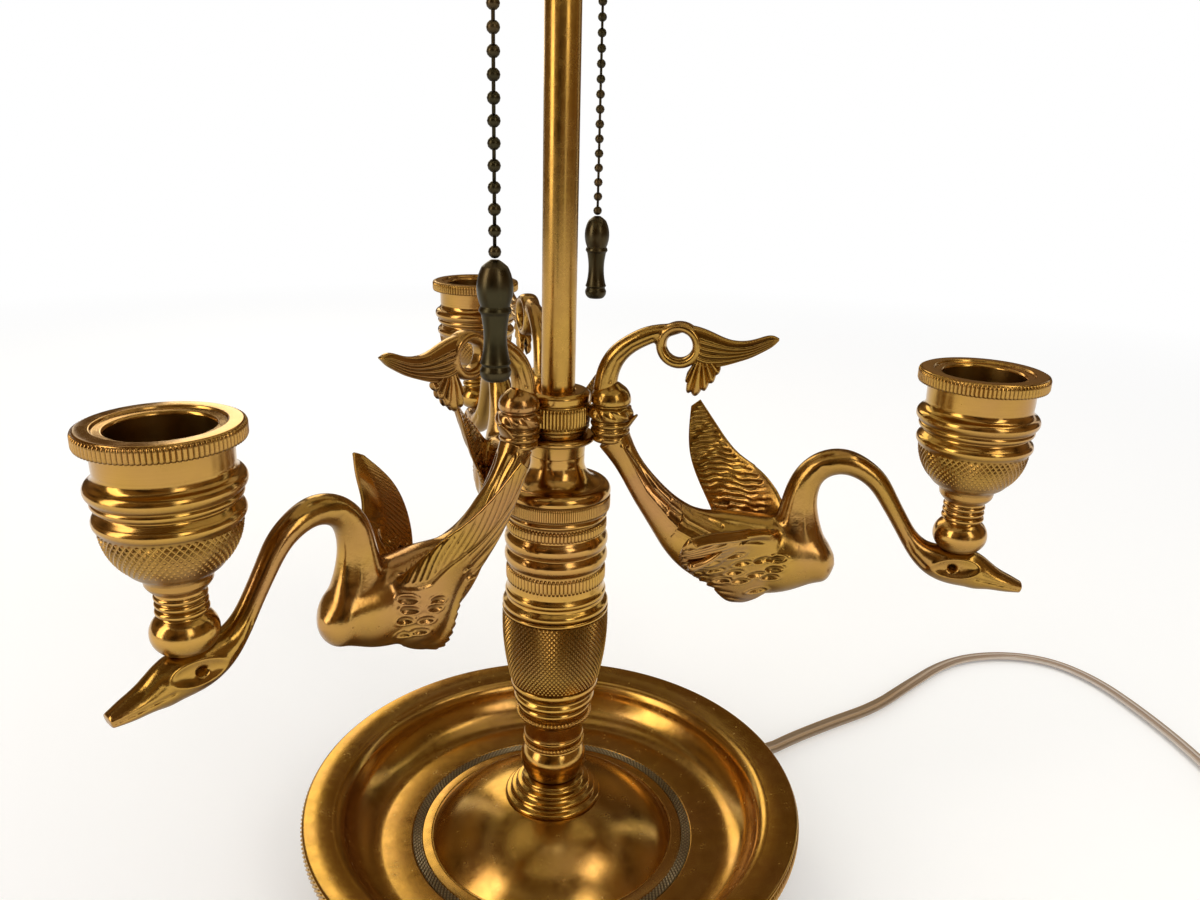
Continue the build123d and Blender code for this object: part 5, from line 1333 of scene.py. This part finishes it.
def rolled_tip(wing):
    """Short round bar on the outside of a low wing near its tip, thicker at the free end."""
    middle, _, _, out, _, _ = blade(wing, 101, 101)
    knots = ((0.60, 0.36, 0.6), (0.66, 0.52, 1.6), (0.72, 0.70, 2.2), (0.79, 0.92, 2.6))
    line = flowing([middle[round(100 * u), round(100 * v)] + rise * out[round(100 * u)] for u, v,
                    rise in knots], 30, by=3)
    one, two = beside(line)
    s = np.linspace(0, 1, 30)[:, None]
    r = (0.9 + 0.75 * s) * held(1 - (2 * s - 1)**12)**0.5
    x, y = r * np.cos(steps_round(24)), r * np.sin(steps_round(24))
    return line[:, None] + one[:, None] * x[..., None] + two[:, None] * y[..., None]


def blank_casting(wings):
    """Body, neck, stem of the scroll and roots of the wings grown into one skin of even cells."""
    work = Work()
    work.grid(casting(BODY, 110, 56, 0.92))
    work.grid(casting(NECK, 170, 44))
    work.grid(casting(CURL, 60, 32))
    work.grid(pierced_ring(), ring=True)
    for wing in wings:
        work.grid(wing_root(wing))
    mesh = mesh_of("casting", work)
    obj = put("casting", mesh)
    skin = obj.modifiers.new("skin", "REMESH")
    skin.mode, skin.voxel_size = "VOXEL", settings().carving.casting_grain * 1
    ease = obj.modifiers.new("ease", "SMOOTH")
    ease.factor, ease.iterations = 0.5, 5
    made = bpy.data.meshes.new_from_object(obj.evaluated_get(bpy.context.evaluated_depsgraph_get()))
    points = read(made.vertices, "co", 3) / MM
    quads = read(made.loops, "vertex_index", 1, np.int32).reshape(-1, 4)
    edges = read(made.edges, "vertices", 2, np.int32)
    bpy.data.objects.remove(obj)
    for used in (mesh, made):
        bpy.data.meshes.remove(used)
    return points, quads, edges


def near_line(points, path):
    """Distance of points to a path, all in as many directions as the path has."""
    best = np.full(len(points), 1e9)
    for a, b in zip(path, path[1:]):
        a, b = np.array(a, float), np.array(b, float)
        w = held((points - a) @ (b - a) / ((b - a) @ (b - a)))[:, None]
        best = np.minimum(best, np.linalg.norm(points - a - w * (b - a), axis=1))
    return best


NECK_ROOT = ((74.0, 146.0, 9.0), (86.5, 141.0, 6.0))    # (reach, height, radius) of what is evened out
EVENING_PASSES = 50
SOCKET, PUPIL = (127.0, 135.4), (126.2, 135.3)          # (reach, height) of the eye
# cuts along paths of (reach, height): where they are, their width and their depth, below 0 for a ridge
CUTS = [
    # behind the cheek, the mouth, and a crease up the neck
    ("head", 0.7, 0.45, [(118.0, 134.8), (114.0, 138.6), (111.2, 143.5)]),
    ("head", 0.45, 0.40, [(147.0, 129.9), (140.0, 131.4), (133.4, 132.6)]),
    ("flank", 1.3, 0.30, [(84.6, 163.0), (82.2, 158.0), (82.0, 151.0), (83.2, 144.0)]),
    # two cuts and a ridge along the tail bar, and a cut along the scroll's stem
    ("tail", 0.65, 0.9, [(24.0, 164.5), (33.2, 151.4), (44.2, 141.8), (53.0, 138.6)]),
    ("tail", 0.55, 0.7, [(26.0, 164.5), (35.4, 152.8), (46.0, 144.6), (55.0, 142.2)]),
    ("tail", 0.6, -0.35, [(22.2, 165.0), (30.6, 150.8), (41.0, 140.2), (50.0, 135.4)]),
    ("flank", 0.5, 0.4, [(17.4, 186.0), (19.6, 192.4), (24.0, 196.8), (30.0, 199.8)]),
]


def evened(points, edges, wings):
    """The skin evened out where neck and wings grow out of the body: each pass moves a point toward the mean
    of its neighbours, by up to 0.6 of the way."""
    a, b = edges[:, 0], edges[:, 1]
    count = np.bincount(a, minlength=len(points)) + np.bincount(b, minlength=len(points))
    blend = 0.0
    for reach, height, radius in NECK_ROOT:
        blend = np.maximum(blend, bell(np.hypot(points[:, 0] - reach, points[:, 2] - height) / radius))
    for wing in wings:
        middle = blade(wing, 11, 11, last=0.3)[0]
        for column in (1, 5, 9):
            blend = np.maximum(blend, bell(near_line(points, middle[:, column]) / 6.0))
    for _ in range(EVENING_PASSES):
        mean = np.stack([np.bincount(a, points[b, k], len(points)) + np.bincount(b, points[a, k], len(points))
                         for k in range(3)], 1) / count[:, None]
        points = points + 0.6 * blend[:, None] * (mean - points)
    return points


def skin_normals(points, quads):
    """Normals of a skin of quads at its points, from the quads' diagonals."""
    p = points[quads]
    face = np.cross(p[:, 2] - p[:, 0], p[:, 3] - p[:, 1])
    normals = np.stack([np.bincount(quads.ravel(), np.repeat(way, 4), len(points)) for way in face.T], 1)
    return normals / np.maximum(np.linalg.norm(normals, axis=1), 1e-9)[:, None]


def eye_cut(reach, height):
    """An almond eye in a long hollow under a brow, with a pit for its pupil."""
    from_eye = reach - SOCKET[0]
    oval = np.hypot(from_eye / 6.0, (height - SOCKET[1] - 0.05 * from_eye) / 2.6)
    pit = np.hypot(reach - PUPIL[0], height - PUPIL[1])
    return 0.35 * bell((oval - 1.15) / 0.16) - 1.3 * np.exp(-oval**4) - 2.6 * np.exp(-(pit / 1.35)**4)


def carved_casting(wings):
    """The skin with its drawn detail: every cut is a depth times exp(-(distance / width)^2) along the skin's
    normal."""
    points, quads, edges = blank_casting(wings)
    points = evened(points, edges, wings)
    normals = skin_normals(points, quads)
    reach, height = points[:, 0], points[:, 2]
    flank = held(np.abs(normals[:, 1]) * 1.6 - 0.2)
    areas = {"flank": flank, "head": flank * (reach > 112), "tail": flank * (height < 166) * (reach < 62)}
    cut = areas["head"] * eye_cut(reach, height)
    for area, width, depth, path in CUTS:
        cut -= depth * areas[area] * bell(near_line(points[:, [0, 2]], path) / width)
    teeth_of = np.zeros_like(points)
    for wing in wings:
        near = np.flatnonzero((points[:, 1] * wing.side > 2) & (points[:, 0] > 38) & (points[:, 0] < 84))
        u, v, across, run, out, back = on_blade(points[near], wing)
        facing = np.einsum("ij,ij->i", normals[near], out)
        edge = held(v * 9) * held((1 - v) * 9) * held((u + 0.02) * 12)
        outer, inner = held(facing * 2.2 - 0.3) * edge, held(-facing * 2.2 - 0.3) * edge
        beyond = near[v < 0.9]
        cut[near] += outer * wing.outside(u, v, points[near], across, run)
        cut[near] += inner * wing.inside(u, v, points[near], across, run) * held((u - 0.2) * 6)
        face = held(normals[beyond, 1] * wing.side * 2.2 - 0.3)
        cut[beyond] += hollows(points[beyond], wing) * face
        teeth_of[near] += back * (saw(u, v, wing.teeth) * (v < 1.25))[:, None]
    return points + normals * cut[:, None] + teeth_of, quads


HIGH_LEADING = [(74, 3, 139), (71, 8, 143), (64.5, 13, 150), (56.5, 19, 157), (49, 24, 165.5),
                (43.2, 27.4, 174)]
HIGH_TRAILING = [(60, 3, 116), (57.5, 9, 116), (53.5, 13, 129), (48.5, 17.5, 142), (42.5, 22, 156),
                 (40.6, 27.2, 171.5)]
BROAD_LEADING = [(76.5, 3, 141), (74, 8, 146.5), (68.3, 13, 153.6), (57.6, 19, 159), (49.8, 24, 166.3),
                 (43.2, 27.4, 174)]
BROAD_TRAILING = [(60, 3, 116), (57.5, 9, 116), (54.2, 13, 129), (48.3, 17.5, 142), (41.3, 22, 156),
                  (40.2, 27.2, 171.5)]
SPREAD_LEADING = [(74, 3, 139), (71, 8, 144), (66, 15, 150), (61, 22, 154.5), (58.3, 28.2, 159.5),
                  (55.9, 32.6, 165)]
SPREAD_TRAILING = [(60, 3, 116), (57.5, 9, 116), (51, 13, 130), (46.2, 19, 144.0), (47.0, 25.4, 155.0),
                   (52.6, 31.6, 163.4)]
LOW_LEADING = [(74, 3, 139), (71.5, 8, 144), (66, 16, 147.0), (60, 24, 148.5), (53.5, 31, 149.8),
               (48.2, 36.6, 150)]
LOW_TRAILING = [(60, 3, 116), (58, 9, 118), (52.5, 15, 125.5), (47.5, 22, 133), (45, 30, 140),
                (46.2, 36.4, 146.5)]
SAW, SMOOTH_EDGE, NOTCHED = (11, 0.05, 0.45, 1.5), (1, 0.0, 0.0001, 0.0), (8, 0.30, 0.92, 1.1)


class LAMP_OT_arms(Operator):
    """Three cast swan arms."""
    bl_idname = "lamp.arms"
    bl_label = "Swan arms"

    def execute(self, context):
        high = Wing(1, HIGH_LEADING, HIGH_TRAILING, scaled, rippled, HIGH_EYES, SAW)
        broad = Wing(1, BROAD_LEADING, BROAD_TRAILING, scaled, rippled, HIGH_EYES, SMOOTH_EDGE)
        spread = Wing(-1, SPREAD_LEADING, SPREAD_TRAILING, scaled, barbed, HIGH_EYES, SMOOTH_EDGE)
        low = Wing(-1, LOW_LEADING, LOW_TRAILING, petalled, barbed, LOW_EYES, NOTCHED)
        arms = {
            "left": (LEFT_AZ, high, spread),
            "right": (RIGHT_AZ, broad, low),
            "back": (BACK_AZ, high, high._replace(side=-1)),
        }
        for name, (azimuth, *wings) in arms.items():
            points, quads = carved_casting(wings)
            work = Work()
            work.shell(in_arm(points, azimuth), [quads])
            piece(f"swan_{name}", work, brass("cast"), [f"swan_arm_{name}"])
            work = Work()
            shapes = []
            for wing in wings:
                shapes.append(outer_wing(wing))
                if wing.outside is petalled:
                    shapes.append(rolled_tip(wing))
            for shape in (*shapes, leaf(), fan(), *knuckle()):
                work.grid(in_arm(shape, azimuth))
            piece(f"plumage_{name}", work, brass("cast"), [])
        return {"FINISHED"}


# ---------------------------------------------------------------- candle cups
class LAMP_OT_cups(Operator):
    """Candle cups with reeded lips and a knurled bulge."""
    bl_idname = "lamp.cups"
    bl_label = "Candle cups"

    def execute(self, context):
        for name, azimuth in (("left", LEFT_AZ), ("right", RIGHT_AZ), ("back", BACK_AZ)):
            centre, z, top = polar(CUP_REACH, azimuth), HEAD_Z, HEAD_Z + CUP_HEIGHT
            work = Work()
            outline = profile(
                (0, -4.0), (2.5, -4.0), (2.5, 0), (5.0, 0), (8.0, 4.8, 5.5, 9.4), (5.3, 9.8),
                (6.2, 10.6, 5.7, 11.5), (5.4, 11.8), (6.1, 12.5, 5.6, 13.3), (5.4, 13.6),
                (6.1, 14.3, 5.7, 15.1), (5.6, 15.8), (7.2, 17.2, 7.7, 18.0), (7.9, 19.4),
                (8.4, 20.4), (9.4, 20.9, 11.2, 22.6), (13.9, 26.6, 15.4, 32.4),
                (15.9, 33.4), (16.6, 34.8, 15.8, 36.3), (14.9, 37.3), (14.8, 37.8),
                (15.6, 38.3), (16.4, 39.3, 16.1, 40.1), (16.3, 40.5), (17.4, 42.3, 16.2, 44.2),
                (15.3, 45.2, 15.1, 46.8), (15.2, 52.0), (17.2, 52.2), (17.7, 52.6),
                (17.8, 55.7), (17.4, 56.2), (14.2, 56.2), (13.9, 55.5), (12.0, 55.4),
                (11.6, 54.8), (11.6, 32.2), (0, 32.2), fine=12, soft=0.22, lift=z)
            deep = held((outline[:, 1] < top - 1.5) * (outline[:, 0] < 11.7)
                        * (outline[:, 1] > z + 20)) * 0.55
            work.turned(outline, centre, sides=150, patina=deep)
            work.reeded(18.3, top - 4.0, top - 0.3, count=96, depth=0.5, centre=centre)
            bulge = profile((12.0, 23.6), (14.1, 26.8, 15.55, 32.6), fine=14, lift=z)
            work.knurled(bulge, around=56, depth=0.42, centre=centre)
            piece(f"cup_{name}", work, brass("turned"), [f"candle_cup_{name}"])
        return {"FINISHED"}


# ---------------------------------------------------------------- light cluster and pulls
class LAMP_OT_sockets(Operator):
    """Cluster, branches, sockets and what is in them."""
    bl_idname = "lamp.sockets"
    bl_label = "Sockets"

    def execute(self, context):
        shine = brass("turned")
        work, z = Work(), 298.4
        work.turned(profile((5.46, 0), (7.5, 0), (8.1, 2.0), (8.5, 4.0), (12.4, 6.4, 13.0, 10.0),
                            (13.0, 18.0), (12.4, 21.8, 8.5, 24.0), (7.4, 26.0), (6.8, 28.0),
                            (0, 28.0), soft=0.4, lift=z))
        work.turned(profile((10, 9.4), (13.0, 9.6), (13.0, 10.6), (10, 10.8), lift=z), ring=True)
        piece("cluster", work, shine, ["cluster_body"])
        for name, azimuth in LIGHTS.items():
            centre = polar(SOCKET_REACH, azimuth)
            dress(f"cluster_branch_{name}", brass("tube"))
            for node in (f"socket_cap_{name}", f"socket_shell_{name}", f"chain_outlet_{name}"):
                dress(node, shine)
            moulded = plain("insulator", (0.018, 0.015, 0.013), (0.03, 0.026, 0.022), roughness=0.35,
                            scale=200.0, coat=0.3)
            dress(f"switch_body_{name}", moulded)
            fibre = plain("fibre liner", (0.26, 0.19, 0.11), (0.36, 0.27, 0.17), roughness=0.8, scale=500.0)
            dress(f"socket_liner_{name}", fibre)
            contact = metal("lamp contact", (0.66, 0.52, 0.30), (0.66, 0.48, 0.28), (0.18, 0.12, 0.06),
                            roughness=0.28)
            piece(f"thread_{name}", self.thread(centre), contact, [f"screw_shell_{name}"])
            dress(f"centre_contact_{name}", contact)
        return {"FINISHED"}

    def thread(self, centre):
        """Screw shell: thin rolled metal whose wave climbs by its pitch in each turn, plain at its two
        ends."""
        low, high, pitch = 353.4, 381.4, 3.6
        t = np.linspace(0, 1, 140)[:, None]
        a = steps_round(96)
        plain_ends = held((t - 0.08) * 14) * held((0.97 - t) * 20)
        wave = 0.28 * np.sin(TURN * t * (high - low) / pitch - a) * plain_ends
        r = np.concatenate([13.5 + wave, (13.2 + wave * 0.9)[::-1]])
        work = Work()
        work.grid(about(centre, r, a, np.concatenate([t, t[::-1]]) * (high - low) + low), ring=True)
        return work


CHAIN_TOP, BEAD_PITCH, BEADS, BEAD_RADIUS, WIRE_RADIUS = 331.9, 5.0, 21, 1.6, 0.45
HANDLE_TOP = 230.0


class LAMP_OT_pulls(Operator):
    """Ball chains and turned handles of the two switches."""
    bl_idname = "lamp.pulls"
    bl_label = "Pull chains"

    def execute(self, context):
        dark = bronze()
        for name, azimuth in LIGHTS.items():
            centre = polar(CHAIN_REACH, azimuth)
            dress(f"switch_link_{name}", dark)
            work = Work()
            a = np.linspace(-math.pi / 2, math.pi / 2, 7)
            for i in range(BEADS):
                z = CHAIN_TOP - i * BEAD_PITCH
                outline = np.stack([BEAD_RADIUS * np.cos(a), z + BEAD_RADIUS * np.sin(a)], 1)
                outline[[0, -1], 0] = 0
                work.turned(outline, centre, sides=12)
            low = CHAIN_TOP - (BEADS - 1) * BEAD_PITCH
            wire = np.array([(0, low), (WIRE_RADIUS, low), (WIRE_RADIUS, CHAIN_TOP), (0, CHAIN_TOP)])
            work.turned(wire, centre, sides=8, patina=0.5)
            piece(f"chain_{name}", work, dark, [f"pull_chain_{name}"], body=f"pull_{name}")
            work = Work()
            work.turned(profile(
                (0, -30.0), (2.6, -30.0), (3.7, -28.8, 3.9, -27.2), (3.5, -26.4), (3.4, -26.0),
                (3.9, -25.4), (3.6, -24.8), (2.9, -20.0, 3.2, -15.0), (3.5, -13.2), (4.1, -12.4),
                (3.9, -11.6), (3.6, -11.2), (4.5, -7.4, 3.2, -1.6), (2.0, -0.6), (1.1, 0), (0, 0),
                soft=0.15, lift=HANDLE_TOP), centre, sides=64)
            piece(f"handle_{name}", work, dark, [f"pull_handle_{name}"],
                  body=f"pull_{name}")
        return {"FINISHED"}


# ---------------------------------------------------------------- shade
class LAMP_OT_shade(Operator):
    """Shade, its spider and carrier, the rod and the finial."""
    bl_idname = "lamp.shade"
    bl_label = "Shade"

    def execute(self, context):
        shine = brass("turned")
        work = Work()
        low, high, r0, r1, rows = 346.0, 496.0, 175.0, 85.0, 30
        outer = np.linspace((r0 - 0.2, low + 0.6), (r1, high - 0.4), rows)
        inner = np.linspace((r1 - 0.7, high - 0.4), (r0 - 0.9, low + 0.6), rows)
        work.turned(np.concatenate([outer, inner]), sides=192, ring=True, patina=np.repeat((0, 1), rows))
        t = steps_round(12)
        for r, z in ((r0 - 0.95, low + 0.9), (r1 - 0.9, high - 0.9)):
            work.turned(np.stack([r + 0.9 * np.cos(t), z + 0.9 * np.sin(t)], 1), sides=192, ring=True)
        piece("shade_cone", work, shade_paint(), ["shade"], body="shade_set")
        for node in ("shade_carrier", "shade_spider", "thumbscrew"):
            dress(node, shine)
        dress("shade_rod", brass("tube"))
        work, z = Work(), 536.4
        work.turned(profile((0, 0), (5.0, 0), (5.0, 2.4), (4.2, 3.2), (3.2, 5.0), (6.6, 8.4),
                            (8.0, 12.5, 6.6, 16.6), (3.4, 19.6), (2.6, 21.3), (3.5, 23.6, 1.6, 25.8),
                            (0, 26.0), soft=0.4, lift=z), sides=96)
        piece("finial_knob", work, shine, ["finial"])
        return {"FINISHED"}


class SwanLampSettings(PropertyGroup):
    """All settings of the lamp."""
    stage: PointerProperty(type=StageSettings)
    brass: PointerProperty(type=BrassSettings)
    carving: PointerProperty(type=CarvingSettings)
    cord: PointerProperty(type=CordSettings)
    shade: PointerProperty(type=ShadeSettings)


OPERATORS = (LAMP_OT_stage, LAMP_OT_lead, LAMP_OT_base, LAMP_OT_column, LAMP_OT_arms, LAMP_OT_cups,
             LAMP_OT_sockets, LAMP_OT_pulls, LAMP_OT_shade)


class LAMP_PT_panel(Panel):
    """Sidebar panel that lists the lamp's settings and what builds it."""
    bl_idname = "LAMP_PT_panel"
    bl_label = "Swan lamp"
    bl_space_type = "VIEW_3D"
    bl_region_type = "UI"
    bl_category = "Lamp"

    def draw(self, context):
        for operator in OPERATORS:
            self.layout.operator(operator.bl_idname)
        for part in ("stage", "brass", "carving", "cord", "shade"):
            group = getattr(context.scene.swan_lamp, part)
            for field in group.bl_rna.properties:
                if not field.is_readonly and field.identifier != "name":
                    self.layout.prop(group, field.identifier)


CLASSES = (StageSettings, BrassSettings, CarvingSettings, CordSettings, ShadeSettings, SwanLampSettings,
           *OPERATORS, LAMP_PT_panel)


def register():
    """Adds the classes and the scene's settings."""
    for each in CLASSES:
        bpy.utils.register_class(each)
    bpy.types.Scene.swan_lamp = PointerProperty(type=SwanLampSettings)


def unregister():
    """Takes them away again."""
    del bpy.types.Scene.swan_lamp
    for each in reversed(CLASSES):
        bpy.utils.unregister_class(each)


def main():
    """Builds the whole lamp."""
    register()
    for operator in OPERATORS:
        family, name = operator.bl_idname.split(".")
        getattr(getattr(bpy.ops, family), name)()


if __name__ == "__main__":
    main()
